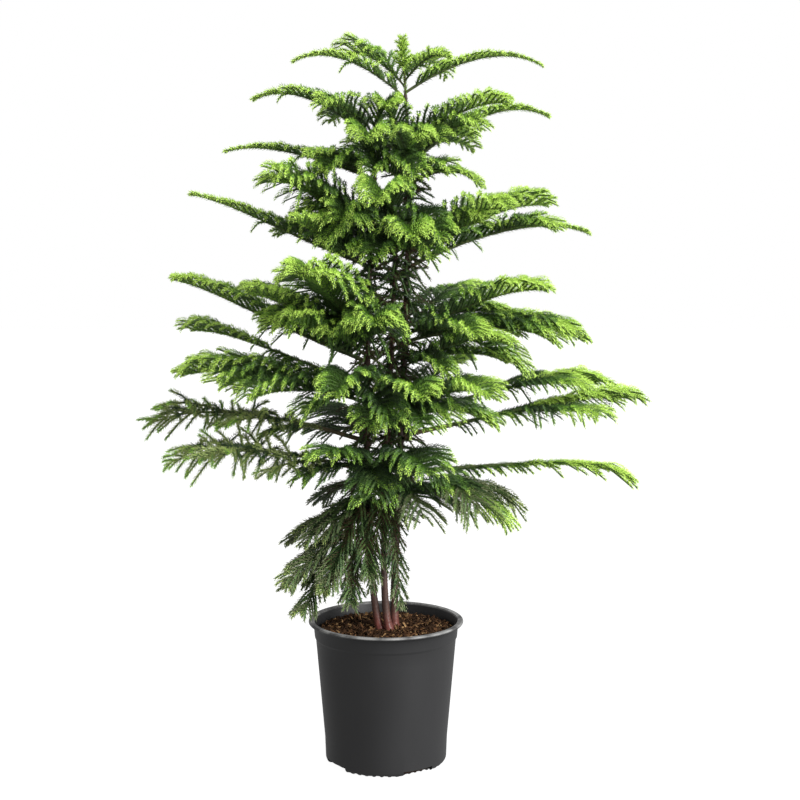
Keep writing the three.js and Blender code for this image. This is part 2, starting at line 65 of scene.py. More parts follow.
# Pot
POT_HEIGHT = 232
POT_LIP_RADIUS = 125
POT_LIP_HEIGHT = 6
POT_LIP_ROUND = 2.6
POT_TOP_RADIUS = 117.5
POT_BAND_DROP = 26
POT_BAND_STEP = 1.6
POT_FOOT_RADIUS = 97.5
POT_CORNER = 8
POT_WALL = 2.2
POT_FLOOR = 3
POT_SEGMENTS = 240
POT_TEETH = 48
POT_TOOTH_HEIGHT = 2.0
POT_TOOTH_TOP = 4.5
POT_NOTCH_FROM = 0.2
POT_SHARP_ANGLE = 38
# Heights of the top of the lip, where a painted highlight of pale grey is mixed into the black
POT_LIP_HIGHLIGHT_ZONE = (228.4, 230.2)
DRAIN_GAPS = 4
DRAIN_BEARING = -57
DRAIN_SIZE = (26, 54, 18)

# Potting mix
SOIL_TOP = 215
SOIL_RADIUS = 111
SOIL_GAP = 0.4
SOIL_WALL_GAP = 0.5
SOIL_CORNER = 4
SOIL_SEGMENTS = 120
SOIL_RINGS = 36
SOIL_INNER_RING = 6
SOIL_ROUGHNESS = 1.1
SOIL_SINK = 1.5
SOIL_TONES = ((0.008, 0.005, 0.004), (0.045, 0.022, 0.013))

# Bark chips: half of each size, and the level, as a least value and what chance adds; then the kinds,
# with their share, dark tone and light tone
CHIPS = 2400
CHIP_LENGTH = (2.4, 9.0)
CHIP_WIDTH = (0.8, 1.2)
CHIP_THICKNESS = (0.5, 0.7)
CHIP_LEVEL = (-0.6, 2.6)
CHIP_CORNERS = (0.62, 0.6)
CHIP_WALL_GAP = 1.2
CHIP_FLATNESS = 2.2
CHIP_KINDS = {
    "dark": (0.66, (0.012, 0.006, 0.003), (0.05, 0.025, 0.012)),
    "brown": (0.23, (0.035, 0.017, 0.008), (0.14, 0.068, 0.03)),
    "amber": (0.11, (0.14, 0.075, 0.032), (0.38, 0.24, 0.11)),
}

# Stems: four control points of a smooth line, and the radius at the foot
STEM_TIP_RADIUS = 1.1
STEM_FULLNESS = 1.5
ROOT_FLARE = 2.2
ROOT_FLARE_HEIGHT = 12
STEM_FOOT_ZONE = (224, 250)
STEM_SAMPLES = 420
STEM_STEP = 2.4
STEM_SIDES = 22
STEM_RELIEF = {"cushions": 0.42, "wrinkles": 0.22, "lumps": 0.3, "grain": 0.12, "whorl": 1.1}
STEM_SCALY_ZONE = (330, 530)
STEM_FULL_RELIEF = 4
WHORL_SWELLING = 7
STEMS = {
    "left": ([(-9, -3, 215), (-40, -10, 310), (-34, -18, 790), (-8, -8, 1036)], 5.6),
    "middle": ([(6, -11, 215), (-22, -10, 310), (26, -4, 770), (16, -2, 1020)], 5.8),
    "right": ([(15, 6, 215), (4, 8, 320), (56, 16, 830), (25, 12, 1157)], 6.4),
}

# Limbs and fronds
WHORL_STEP = 9
BOUGH_REACH = 312
BOUGH_SHARE = 0.2
FIRST_AFTER_BOUGH = 0.03
LIMB_THICKNESS = 0.011
LIMB_LEAST_RADIUS = 1.8
LIMB_TIP_RADIUS = 0.9
LIMB_FOOT = 0.004
LIMB_RELIEF = 0.13
BOUGH_GRID = (40, 12)
AXIS_GRID = (60, 7)
BOUGH_OVERLAP = 0.02
SPRAY_SPREAD = (36, 50)
SPRAY_SWING = 4

# Whorls from the top down: stem, height, lift of the two rows of sprays, and each frond's bearing,
# reach, climb angle at the stem, rise of its tip and longest spray.
WHORLS = [
    ("right", 1062, 40,
     [(180, 176, 43, 57, 44), (2, 216, 35, 42, 36), (138, 124, 44, 58, 72), (-51, 104, 38, 26, 28),
      (60, 140, 36, 10, 44)]),
    ("left", 985, 38, [(178, 193, 46, 73, 62)]),
    ("middle", 985, 46, [(-24, 184, 30, 62, 60)]),
    ("right", 955, 40, [(6, 226, 44, 80, 56), (88, 200, 35, 30, 56)]),
    ("left", 935, 40, [(177, 234, 23, 44, 46), (-93, 170, 36, 39, 66)]),
    ("middle", 925, 46, [(-78, 150, 40, 62, 66)]),
    ("right", 925, 20, [(-25, 126, 34, -2, 38)]),
    ("left", 862, 52, [(-138, 192, 24, 67, 86)]),
    ("middle", 860, 44, [(-97, 215, 30, 31, 76)]),
    ("middle", 815, 34, [(-82, 186, 32, 26, 66)]),
    ("left", 800, 44, [(181, 281, 21, 112, 64), (-145, 126, 30, 54, 76), (108, 240, 28, 45, 66)]),
    ("right", 797, 42, [(-3, 288, 28, 54, 62), (14, 235, 34, 90, 84), (-42, 196, 34, 71, 74)]),
    ("right", 680, 36, [(6, 291, 15, -1, 80), (-22, 234, 28, 75, 78), (62, 260, 25, 50, 66)]),
    ("left", 650, 40, [(180, 307, 21, 130, 72), (-150, 208, 34, 105, 66), (-116, 212, 42, 124, 92),
                       (146, 250, 26, 80, 70)]),
    ("right", 640, 36, [(-30, 191, 30, 41, 54)]),
    ("left", 607, 38, [(171, 286, 22, 90, 76)]),
    ("left", 585, 42, [(-172, 291, 18, 46, 92), (-104, 175, 26, 16, 76)]),
    ("middle", 575, 36, [(-72, 165, 28, 30, 72)]),
    ("right", 556, 30, [(12, 330, 18, 50, 82), (-45, 187, 30, 38, 80), (60, 215, 28, 60, 66)]),
    ("right", 529, 22, [(0, 368, 12, 60, 88)]),
    ("left", 522, 2, [(175, 352, 18, 25, 54), (112, 260, 15, 20, 70)]),
    ("middle", 482, 26, [(-68, 170, 22, 12, 84)]),
    ("left", 474, 5, [(-170, 318, 18, 19, 64), (-111, 160, 24, 40, 72)]),
    ("right", 470, 4, [(-3, 356, 5, 2, 84)]),
    ("left", 438, 26, [(-170, 112, -20, -62, 44), (-150, 150, -54, -138, 50), (-122, 118, -56, -140, 46)]),
    ("middle", 428, 6, [(-21, 206, 30, -24, 84), (-104, 84, -10, -140, 46), (84, 220, 10, -50, 70)]),
]
TIP_DROOP = 0.07
TIP_DROOP_POWER = 6

# Side fronds that fork off a frond: place on it, turn from its bearing, share of its reach, and how
# much steeper they climb. Those at the front pass under their frond, and some fronds branch in their
# own way.
FORKS = ((0.06, 58, 0.62, -2), (0.1, -58, 0.62, -8))
FRONT_FORKS = ((0.06, 34, 0.7, -18), (0.1, -34, 0.7, -22))
OWN_FORKS = {
    "right_6_1": ((0.06, 34, 0.8, -12), (0.1, -34, 0.6, -20)),
    "left_5_2": ((0.06, -40, 0.6, -14), (0.5, 30, 0.4, -6)),
    "left_4_2": FRONT_FORKS[1:],
    "right_5_3": FORKS[1:],
    "left_1_1": (*FORKS, (0.05, 110, 0.44, 8)),
    "right_5_1": ((0.1, 58, 0.5, -8), (0.22, -30, 0.45, -24), (0.42, -30, 0.42, -10), (0.6, -28, 0.3, -10)),
    "right_4_1": ((0.45, -28, 0.4, -8),),
    "left_3_1": ((0.06, 34, 0.7, -18), (0.1, -24, 0.4, -8)),
    "middle_4_1": ((0.06, 22, 0.6, -12), (0.1, -26, 0.6, -16)),
    "middle_1_1": ((0.06, 30, 0.6, -14), (0.1, -34, 0.5, -22), (0.05, -80, 0.5, 10)),
    "left_7_1": ((0.2, 30, 0.5, -10), (0.32, -34, 0.46, -14), (0.48, 30, 0.34, -12)),
    "left_8_1": ((0.28, 34, 0.42, -2), (0.42, -36, 0.38, -10), (0.64, 32, 0.3, 4), (0.76, -30, 0.24, -10)),
    "left_9_1": ((0.23, 30, 0.32, -10), (0.36, -34, 0.5, -8), (0.52, 34, 0.38, -4), (0.68, -34, 0.28, -8)),
    "left_10_1": ((0.1, 38, 0.75, -6), (0.16, -38, 0.75, -12), (0.36, 34, 0.5, -8), (0.5, -34, 0.5, -12)),
    "left_10_2": ((0.1, 38, 0.75, -2), (0.16, -38, 0.75, -4), (0.36, 34, 0.5, -8), (0.5, -34, 0.5, -12)),
    "left_10_3": ((0.1, 38, 0.75, -6), (0.16, -38, 0.75, -12), (0.4, 34, 0.55, -8)),
    "right_7_1": ((0.4, 34, 0.45, -2), (0.52, -34, 0.4, -6), (0.66, 34, 0.28, -6)),
    "right_8_1": ((0.36, 34, 0.46, -4), (0.5, -36, 0.4, -8), (0.66, 34, 0.28, -8)),
    "middle_7_1": ((0.1, -46, 0.5, -4), (0.34, 34, 0.5, -6), (0.46, -34, 0.46, -10), (0.62, 34, 0.36, -10)),
}
FORK_REACH = (80, 175)
FORK_SPRAY = 0.85
FRONT = -0.3
TAILED_FRONDS = ("right_1_1", "right_1_2", "left_1_1", "right_2_1", "left_2_1", "left_4_1", "right_4_1")
CLUBBED_FRONDS = ("left_6_1", "left_8_1", "right_7_1", "right_8_1", "right_9_1")
ROLLS = {"left_8_1": 72, "left_9_1": 60, "left_10_1": 35, "left_10_2": 40}
ROLL_ZONE = (0.4, 0.75)
PLAIN_FRONDS = ("right_1_1", "right_1_2", "right_1_3", "right_1_4", "right_1_5", "right_3_1", "right_4_3",
                "right_9_1", "left_6_1")

# Twigs
TWIG_SPACING = 9.8
TWIG_FIRST = 0.07
TWIG_LAST = 0.985
TWIG_RADIUS = (2.0, 1.7)
TWIG_END = 0.97
TWIG_JITTER = 0.004
TWIG_STEM_CLEARANCE = 8
TWIG_POT_CLEARANCE = 8
TWIG_TEST_PLACES = (0.5, 0.75, 1.0)
TIP_SHOOT_EXTRA = 2
TIP_SHOOT_BEND = 0.1

# How twigs sag and hook over: they arch where the frond's rows are lifted, and hang where they are flat
ARCH_LIFTS = (-6, 20)
ARCHED = {"sag": 0.04, "hook": 0.42, "lift": 0.12}
HANGING = {"sag": 0.16, "hook": 0.12, "lift": 0.06}
HANGING_SHARE = (0.18, 0.02)
HANGING_TO = 0.75
HANGING_FALL = (-25, -30)
HANGING_LENGTH = 0.75
LOOSENESS = (2.6, 1.0)
SPREAD_CLOSING = 10
SPREAD_CHANCE = 6
LIFT_CHANCE = 7
LENGTH_CHANCE = 0.14
SAG_CHANCE = (0.5, 1.0)
HOOK_CHANCE = (0.6, 0.8)
SWING_TURN = 2.4

# Length of the twigs along a frond that is blunt, clubbed or drawn out
FOOT_SHARE = (0.7, 1.5)
BLUNT_POWERS = (4.5, 0.65)
CLUB_SHARE = (0.36, 1.0)
CLUB_ZONE = (0.6, 0.85)
CLUB_POWERS = (9, 0.5)
TAIL_SHARE = 1.25
TAIL_POWER = 0.85
TAIL_LEAST = 0.2

# Fronds that are clubbed, bare at the back, open or dense
CLUB_FROM = 0.55
CLUB_HANGING = 0.7
CLUB_SIDE_LIFT = 0.4
BARE_BACKED = ("right_7_1", "right_8_1")
BARE_BACK_FROM = 0.45
BACK_LIFT = 0.45
OPEN_SPACING = 1.5
OPEN_SPREAD = (80, 26)
OPEN_ZONE = (0.6, 1.0)
OPEN_SAG = 0.65
OPEN_LOOSENESS = 1.9
DENSE_SPACING = {"left_5_3": 0.42, "left_3_1": 0.6}
LOW_ROW_LIFT = 0.25

# Single shoots on the stems; along is the place on a frond that they pass for, below 0 in the shade
SHOOT_SAG = 0.12
SHOOT_HOOK = 0.18
INNER_SHOOTS = {"low": 400, "below_top": 130, "step": 1.9, "length": (22, 50), "climb": (-40, 40),
                "along": -2.0}
WITHERED_SHARE = 0.5
LEADER_SHOOTS = {"count": 22, "below_top": (52, 6), "length": (28, 15), "climb": (48, 66), "along": 0.5}
TALLEST_STEM = "right"
SIDE_LEADER_SCALE = 0.5

# Needles
NEEDLE_SPACING = 0.7
NEEDLE_LENGTH = 5.6
NEEDLE_WIDTH = 1.8
NEEDLE_KEEL = 0.8
NEEDLE_FOOT = 0.12
NEEDLE_REACH = 0.94
NEEDLE_CURVE = 0.1
NEEDLE_ANGLE = (58, 46)
NEEDLE_ANGLE_CHANCE = 8
NEEDLE_TURN_CHANCE = 0.3
NEEDLE_TURN_RANGE = 6.28
NEEDLE_LENGTH_CHANCE = (0.82, 0.34)
NEEDLE_PLACE_CHANCE = (0.3, 0.4)
NEEDLE_ROOT = 0.6
LEAST_NEEDLES = 6
INNER_ALONG = 0.3
INNER_SPACING = 1.35
OLD_NEEDLE_SPACING = 1.5
OLD_NEEDLE_LENGTH = 1.35
TIP_TAPER = 8
TIP_LEAN = (0.35, 1.0)
TIP_LENGTH = (0.6, 1.0)
NEEDLES_PER_PIECE = 64000

# Needles straight on limbs and stems
LIMB_NEEDLE_ROOT = 0.8
LIMB_NEEDLE_LENGTH_CHANCE = (0.8, 0.35)
AXIS_NEEDLES = {"first": 0.1, "step": 1.1, "lean": 46, "youth": (0.1, 0.85), "highest": 3}
SCALES = {"first": 300, "step": 0.5, "lean": 52, "withered": 0.6, "young_from": 900, "young_chance": 30}
LEADER_NEEDLES = {"first": 6, "step": 0.7, "lean": 40, "tip": 40}

# Needle colours: plain base colours, dealt out by spray from old to young, with painted light and shade mixed
# into that order
NEEDLE_COLOURS = {
    "shade": (0.017, 0.04, 0.012),
    "deep": (0.038, 0.09, 0.016),
    "grown": (0.088, 0.19, 0.027),
    "fresh": (0.238, 0.43, 0.055),
    "tip": (0.485, 0.715, 0.115),
    "blue": (0.155, 0.175, 0.085),
    # Olive: the old fronds' own tone, made lighter as painted light for the left-side fronds that lie away
    # from the sun
    "olive": (0.27, 0.34, 0.1),
    "dry": (0.075, 0.042, 0.024),
}
COLOUR_NUMBERS = {name: number for number, name in enumerate(NEEDLE_COLOURS)}
LADDERS = {
    "green": ["shade", "deep", "grown", "fresh", "tip"],
    # The inner ladder: dry brown needles, and otherwise painted shade for fronds that hang in front of the
    # stems
    "inner": ["dry", "shade", "shade", "blue", "blue"],
    "hanging": ["shade", "blue", "blue", "blue", "olive"],
    "olive": ["shade", "olive", "olive", "olive", "fresh"],
}
LADDER_STEPS = 5
OLIVE_FRONDS = ("left_8_1", "left_9_1")
# Painted shade: these fronds hang in front of the stems and take the dark inner ladder
SHADED_INNER_FRONDS = ("left_10_3", "middle_7_2", "middle_7_3")
HANGING_FRONDS = ("left_10_1", "left_10_2", *SHADED_INNER_FRONDS)
HANGING_SIDES = ("middle_7_1",)

# How young a spray looks, from 0 to 1, with painted light and shade mixed in: what its place adds (height and
# place along the frond as age, the sun's side and upturned twigs as painted light, side fronds and the core
# round the stems as painted shade), what its distance from the twig's tip adds, and the fronds that look
# younger or older than their place
YOUTH_AND_PAINTED_LIGHT = {"base": 0.04, "tier": 0.12, "crown": 0.22, "along": 0.2, "outer": 0.24, "outer_sun_side_painted_light": 0.36,
         "sun_side_painted_light": 0.06, "upward": 0.12, "side": -0.22, "painted_core_shade": -0.24, "chance": 0.07}
TIP_ZONES = (10, 24)
ZONE_YOUTH = (0.54, 0.23, -0.02)
TIER_HEIGHTS = (390, 560)
CROWN_HEIGHTS = (930, 1050)
OUTER_PLACES = (0.35, 0.75)
# How far out the painted light on the sun's side reaches, the radius of the painted shade round the stems,
# and how the side fronds' painted shade eases outward
PAINTED_SUN_SIDE_REACH = 280
PAINTED_SHADE_CORE_RADIUS = 150
SIDE_SHADE_EASING = 0.6
# Shifts of single fronds; the lifts on left_4_1 to left_7_1, which lie away from the sun, are painted light
YOUTH_AND_PAINTED_LIGHT_SHIFTS = {"left_7_2": -0.12, "left_9_2": -0.17, "middle_6_1": -0.17, "left_5_1": 0.07, "left_5_2": 0.07,
                "left_5_3": 0.05, "left_6_1": 0.07, "left_7_1": 0.07, "left_4_1": 0.05, "right_1_1": 0.07,
                "right_1_2": 0.07, "right_1_3": 0.07, "right_1_4": 0.07, "right_1_5": 0.07, "right_9_1": 0.05,
                "middle_7_1": 0.08}


# Number helpers
def unit(vectors):
    return vectors / np.linalg.norm(vectors, axis=-1, keepdims=True)


def between(ends, share):
    """What lies this share of the way from the first end to the second."""
    return ends[0] + (ends[1] - ends[0]) * share


def ramp(values, zone):
    """0 before the zone, 1 after it, and an even climb inside it."""
    return np.clip((values - zone[0]) / (zone[1] - zone[0]), 0, 1)


def chance(random, count, spread):
    """Random values from the least one, with up to so much added."""
    return spread[0] + spread[1] * random.random(count)


def sway(random, count, width):
    """Random values on both sides of 0, so wide in all."""
    return width * (random.random(count) - 0.5)


def cross_axes(axes, steepest=0.95):
    """Two directions across each axis; the second points up where the axis isn't steep."""
    reference = np.where(np.abs(axes[:, 2:]) < steepest, UP, [1.0, 0.0, 0.0])
    across = unit(np.cross(reference, axes))
    return across, np.cross(axes, across)


def round_axis(across, above, turn):
    """Directions round each axis, at these angles."""
    return across * np.cos(turn)[..., None] + above * np.sin(turn)[..., None]


# Mesh helpers
def linked(name, data):
    obj = bpy.data.objects.new(name, data)
    bpy.context.collection.objects.link(obj)
    return obj


def mesh_object(name, vertices, triangles, material, smooth=False):
    """A mesh object from arrays of points, in millimetres, and triangles."""
    points = np.asarray(vertices, dtype=np.float32) * MM
    mesh = bpy.data.meshes.new(name)
    mesh.from_pydata(points.tolist(), [], triangles.tolist(), shade_flat=not smooth)
    mesh.materials.append(material)
    return linked(name, mesh)


def joined(parts):
    """Several (vertices, triangles) pairs as one pair."""
    starts = np.cumsum([0] + [len(points) for points, _ in parts])
    triangles = [faces + start for (_, faces), start in zip(parts, starts)]
    return np.concatenate([points for points, _ in parts]), np.concatenate(triangles)


def copied_faces(faces, points, count):
    """The same faces for each of many equal sets of points that follow one another."""
    return (faces[None] + points * np.arange(count)[:, None, None]).reshape(-1, 3)


def grid_faces(rings, sides):
    """Triangles of a tube of rings, wound to face out; the ends are fans round two extra points."""
    a = np.arange((rings - 1) * sides)
    b = a // sides * sides + (a + 1) % sides
    around = [np.stack([a, b, b + sides], -1), np.stack([a, b + sides, a + sides], -1)]
    start, end = np.full(sides, rings * sides), np.full(sides, rings * sides + 1)
    foot = np.stack([start, b[:sides], a[:sides]], -1)
    head = np.stack([end, a[-sides:] + sides, b[-sides:] + sides], -1)
    return np.concatenate([*around, foot, head])


def side_angles(sides):
    return np.linspace(0, 2 * math.pi, sides, endpoint=False)[None, :]


def tube(centres, tangents, radii, reference):
    """A closed tube; radii has one row for each ring and one column for each side."""
    sides = radii.shape[1]
    across = unit(np.cross(reference, tangents))
    above = np.cross(tangents, across)
    spokes = round_axis(across[:, None], above[:, None], side_angles(sides))
    points = centres[:, None] + spokes * radii[:, :, None]
    vertices = np.concatenate([points.reshape(-1, 3), centres[:1], centres[-1:]])
    return vertices, grid_faces(len(centres), sides)


# Material helpers
def set_inputs(tree, node, **inputs):
    """Sets inputs of a node to values, or links them to other nodes; low lines stand for spaces."""
    for name, value in inputs.items():
        socket = node.inputs[name.replace("_", " ")]
        if isinstance(value, bpy.types.NodeSocket):
            tree.links.new(value, socket)
        else:
            socket.default_value = value


def add_node(tree, kind, **inputs):
    node = tree.nodes.new(f"ShaderNode{kind}")
    set_inputs(tree, node, **inputs)
    return node


def new_material(name):
    material = bpy.data.materials.new(name)
    material.use_nodes = True
    return material, material.node_tree


def surfaced(material, **inputs):
    """The material, with its shader's own inputs set."""
    set_inputs(material.node_tree, material.node_tree.nodes["Principled BSDF"], **inputs)
    return material


def object_place(tree):
    return add_node(tree, "TexCoord").outputs["Object"]


def noise_node(tree, scale, detail=4.0, stretch=None):
    place = object_place(tree)
    if stretch:
        place = add_node(tree, "Mapping", Vector=place, Scale=stretch).outputs["Vector"]
    return add_node(tree, "TexNoise", Vector=place, Scale=scale, Detail=detail).outputs["Fac"]


def ramp_node(tree, source, *stops):
    node = add_node(tree, "ValToRGB", Fac=source)
    for element, (place, colour) in zip(node.color_ramp.elements, stops):
        element.position = place
        element.color = (*colour, 1.0)
    return node.outputs["Color"]


def range_node(tree, source, low, high):
    return add_node(tree, "MapRange", Value=source, To_Min=low, To_Max=high).outputs["Result"]


def height_node(tree, low, high):
    """How far up a place is between two heights, from 0 to 1."""
    level = add_node(tree, "SeparateXYZ", Vector=object_place(tree)).outputs["Z"]
    return add_node(tree, "MapRange", Value=level, From_Min=low * MM, From_Max=high * MM).outputs["Result"]


def mixed_node(tree, share, first, second):
    """A mix of two colours; sockets 6, 7 and 2 are the colour ones of this node."""
    node = add_node(tree, "Mix", Factor=share)
    node.data_type = "RGBA"
    tree.links.new(first, node.inputs[6])
    tree.links.new(second, node.inputs[7])
    return node.outputs[2]


def bump_node(tree, height, strength, distance):
    return add_node(tree, "Bump", Height=height, Strength=strength, Distance=distance).outputs["Normal"]


# Materials
def needle_material(name, colour):
    material, tree = new_material(name)
    rough = range_node(tree, noise_node(tree, scale=240.0), low=0.36, high=0.6)
    return surfaced(material, Base_Color=(*colour, 1.0), Specular_IOR_Level=0.42, Roughness=rough)


def plastic_material():
    """Black and cloudy, with a painted highlight of mottled pale grey round the top of the lip."""
    material, tree = new_material("black_nursery_plastic")
    cloud = noise_node(tree, scale=9.0, stretch=(1.0, 1.0, 0.35))
    highlight_mottle = noise_node(tree, scale=40.0, detail=6.0)
    black = ramp_node(tree, cloud, (0.3, (0.0115, 0.0115, 0.012)), (0.7, (0.017, 0.017, 0.0178)))
    # Painted highlight: mottled pale grey for the top of the lip
    lip_highlight = ramp_node(tree, highlight_mottle, (0.36, (0.05, 0.05, 0.05)), (0.64, (0.22, 0.22, 0.215)))
    grain = noise_node(tree, scale=900.0, detail=2.0)
    return surfaced(
        material,
        Base_Color=mixed_node(tree, height_node(tree, *POT_LIP_HIGHLIGHT_ZONE), black, lip_highlight),
        Roughness=range_node(tree, cloud, low=0.42, high=0.56),
        Specular_IOR_Level=0.32,
        Normal=bump_node(tree, grain, strength=0.12, distance=0.0004),
    )


def soil_material(name, dark, light):
    material, tree = new_material(name)
    cloud = noise_node(tree, scale=160.0, detail=6.0)
    bump = bump_node(tree, cloud, strength=0.6, distance=0.001)
    tone = ramp_node(tree, cloud, (0.35, dark), (0.7, light))
    return surfaced(material, Base_Color=tone, Roughness=0.9, Specular_IOR_Level=0.1, Normal=bump)


def bark_fibre(tree):
    return noise_node(tree, scale=90.0, detail=6.0, stretch=(1.0, 1.0, 0.3))


def stem_material():
    """Smooth, glossy and red at the foot, and rough and brown above it."""
    material, tree = new_material("red_brown_bark")
    fibre = bark_fibre(tree)
    foot = ramp_node(tree, fibre, (0.3, (0.06, 0.018, 0.015)), (0.7, (0.24, 0.085, 0.07)))
    above = ramp_node(tree, fibre, (0.32, (0.022, 0.011, 0.008)), (0.68, (0.09, 0.04, 0.027)))
    climb = height_node(tree, *STEM_FOOT_ZONE)
    return surfaced(
        material,
        Base_Color=mixed_node(tree, climb, foot, above),
        Roughness=range_node(tree, climb, low=0.24, high=0.55),
        Normal=bump_node(tree, fibre, strength=0.35, distance=0.0006),
    )


def bark_material(name, dark, light, roughness):
    material, tree = new_material(name)
    fibre = bark_fibre(tree)
    return surfaced(
        material,
        Base_Color=ramp_node(tree, fibre, (0.32, dark), (0.68, light)),
        Roughness=range_node(tree, fibre, low=roughness - 0.1, high=roughness + 0.12),
        Normal=bump_node(tree, fibre, strength=0.4, distance=0.0006),
    )


def floor_material():
    """Pale and matt, and brighter to the eye than in the light that it throws back."""
    material, tree = new_material("pale_floor")
    cloud = noise_node(tree, scale=1.5)
    seen = add_node(tree, "LightPath").outputs["Is Camera Ray"]
    return surfaced(
        material,
        Base_Color=ramp_node(tree, cloud, (0.3, (0.1, 0.1, 0.1)), (0.7, (0.11, 0.11, 0.11))),
        Roughness=0.9,
        Specular_IOR_Level=0.0,
        Emission_Color=WHITE,
        Emission_Strength=range_node(tree, seen, *FLOOR_GLOW),
    )


# Stems
class Stem:
    """One stem's line, sampled closely enough to read off any height."""

    def __init__(self, path, radius):
        self.t = np.linspace(0, 1, STEM_SAMPLES)
        t = self.t[:, None]
        s = 1 - t
        a, b, c, d = np.asarray(path, dtype=float)
        self.points = s**3 * a + 3 * s**2 * t * b + 3 * s * t**2 * c + t**3 * d
        self.top = self.points[-1, 2]
        self.radius = radius

    def at(self, height):
        heights = self.points[:, 2]
        return np.stack([np.interp(height, heights, self.points[:, axis]) for axis in range(3)], -1)

    def radius_at(self, height):
        t = np.interp(height, self.points[:, 2], self.t)
        flare = ROOT_FLARE * np.exp(-(height - SOIL_TOP) / ROOT_FLARE_HEIGHT)
        return between((self.radius, STEM_TIP_RADIUS), t**STEM_FULLNESS) + flare

    def line(self, heights):
        """Centres, directions and radii at these heights."""
        centres = self.at(heights)
        return centres, unit(np.gradient(centres, axis=0)), self.radius_at(heights)


stems = {name: Stem(path, radius) for name, (path, radius) in STEMS.items()}


# Fronds
@dataclass
class Frond:
    """A frond's line: it leaves its foot at a bearing and a climb, and droops at its tip."""

    label: str
    stem: str
    foot: np.ndarray
    bearing: float
    reach: float
    climb: float
    rise: float
    spray: float
    lift: float
    is_side: bool = False

    @property
    def out(self):
        angle = math.radians(self.bearing)
        return np.array([math.cos(angle), math.sin(angle), 0.0])

    @property
    def start(self):
        return math.tan(math.radians(self.climb)) * self.reach

    @property
    def has_bough(self):
        return self.reach >= BOUGH_REACH

    @property
    def is_open(self):
        return self.label in OLIVE_FRONDS

    @property
    def is_clubbed(self):
        return self.label in CLUBBED_FRONDS

    @property
    def length(self):
        return math.hypot(self.reach, self.rise)

    def point(self, t):
        t = np.asarray(t, dtype=float)[..., None]
        droop = TIP_DROOP * self.reach
        climb = self.start * t + (self.rise + droop - self.start) * t**2 - droop * t**TIP_DROOP_POWER
        return self.foot + self.out * self.reach * t + UP * climb

    def tangent(self, t):
        t = np.asarray(t, dtype=float)[..., None]
        droop = TIP_DROOP * self.reach
        slope = self.start + 2 * (self.rise + droop - self.start) * t
        slope -= TIP_DROOP_POWER * droop * t ** (TIP_DROOP_POWER - 1)
        return unit(self.out * self.reach + UP * slope)

    def radius(self, t):
        thick = max(LIMB_LEAST_RADIUS, LIMB_THICKNESS * self.reach)
        return between((thick, LIMB_TIP_RADIUS), t)

    def line(self, t):
        """Centres, directions and radii at these places."""
        return self.point(t), self.tangent(t), self.radius(t)


def forks_of(frond):
    if frond.label in OWN_FORKS:
        return OWN_FORKS[frond.label]
    if frond.label in PLAIN_FRONDS:
        return ()
    return FRONT_FORKS if frond.out[1] < FRONT else FORKS


def grow_fronds():
    fronds = []
    counts = dict.fromkeys(STEMS, 0)
    for stem, height, lift, shapes in WHORLS:
        counts[stem] += 1
        for i, (bearing, reach, climb, rise, spray) in enumerate(shapes):
            label = f"{stem}_{counts[stem]}_{i + 1}"
            foot = stems[stem].at(height + WHORL_STEP * i)
            frond = Frond(label, stem, foot, bearing, reach, climb, rise, spray, lift)
            fronds.append(frond)
            for place, turn, share, steeper in forks_of(frond):
                if frond.has_bough:
                    place = max(place, BOUGH_SHARE + FIRST_AFTER_BOUGH)
                side_reach = float(np.clip(share * reach, *FORK_REACH))
                side_rise = (rise / reach + math.tan(math.radians(steeper))) * side_reach
                fronds.append(Frond(label, stem, frond.point(place), bearing + turn * (-1) ** i, side_reach,
                                    climb + steeper, side_rise, spray * FORK_SPRAY, lift, is_side=True))
    return fronds


# Twigs
@dataclass
class Twigs:
    """Many twigs at once: each leaves its root along a direction, then sags and hooks over."""

    root: np.ndarray
    direction: np.ndarray
    length: np.ndarray
    sag: np.ndarray
    hook: np.ndarray
    along: np.ndarray
    frond: np.ndarray

    def point(self, which, s):
        drop = self.sag[which] * s**2 + self.hook[which] * s**4
        way = self.direction[which] * s[:, None] - UP * drop[:, None]
        return self.root[which] + self.length[which][:, None] * way

    def tangent(self, which, s):
        slope = 2 * self.sag[which] * s + 4 * self.hook[which] * s**3
        return unit(self.direction[which] - UP * slope[:, None])

    def all_at(self, s):
        which = np.arange(len(self.length))
        return self.point(which, np.full(len(which), s))


def gathered(sets):
    """Several sets of twigs or needles as one."""
    kind = type(sets[0])
    fields = kind.__annotations__
    return kind(**{name: np.concatenate([getattr(one, name) for one in sets]) for name in fields})


def picked(whole, which):
    """Some twigs or needles of a set."""
    return type(whole)(**{name: getattr(whole, name)[which] for name in whole.__annotations__})


def spray_share(t, frond):
    """Length of the twigs along a frond: blunt, bushy only at its end, or drawn out to a thin rope."""
    foot = np.minimum(1, FOOT_SHARE[0] + FOOT_SHARE[1] * t)
    if frond.is_clubbed and not frond.is_side:
        return between(CLUB_SHARE, ramp(t, CLUB_ZONE)) * (1 - t**CLUB_POWERS[0]) ** CLUB_POWERS[1]
    if frond.label in TAILED_FRONDS and not frond.is_side:
        return np.maximum(TAIL_LEAST, foot * (1 - t) ** TAIL_POWER * TAIL_SHARE)
    return foot * (1 - t**BLUNT_POWERS[0]) ** BLUNT_POWERS[1]


def rolled(frond, t, side, above):
    """The two directions across a frond, turned about its axis where its outer part rolls over."""
    if frond.is_side:
        return side, above
    roll = np.radians(ROLLS.get(frond.label, 0) * ramp(t, ROLL_ZONE))
    return round_axis(side, above, roll), round_axis(above, -side, roll)


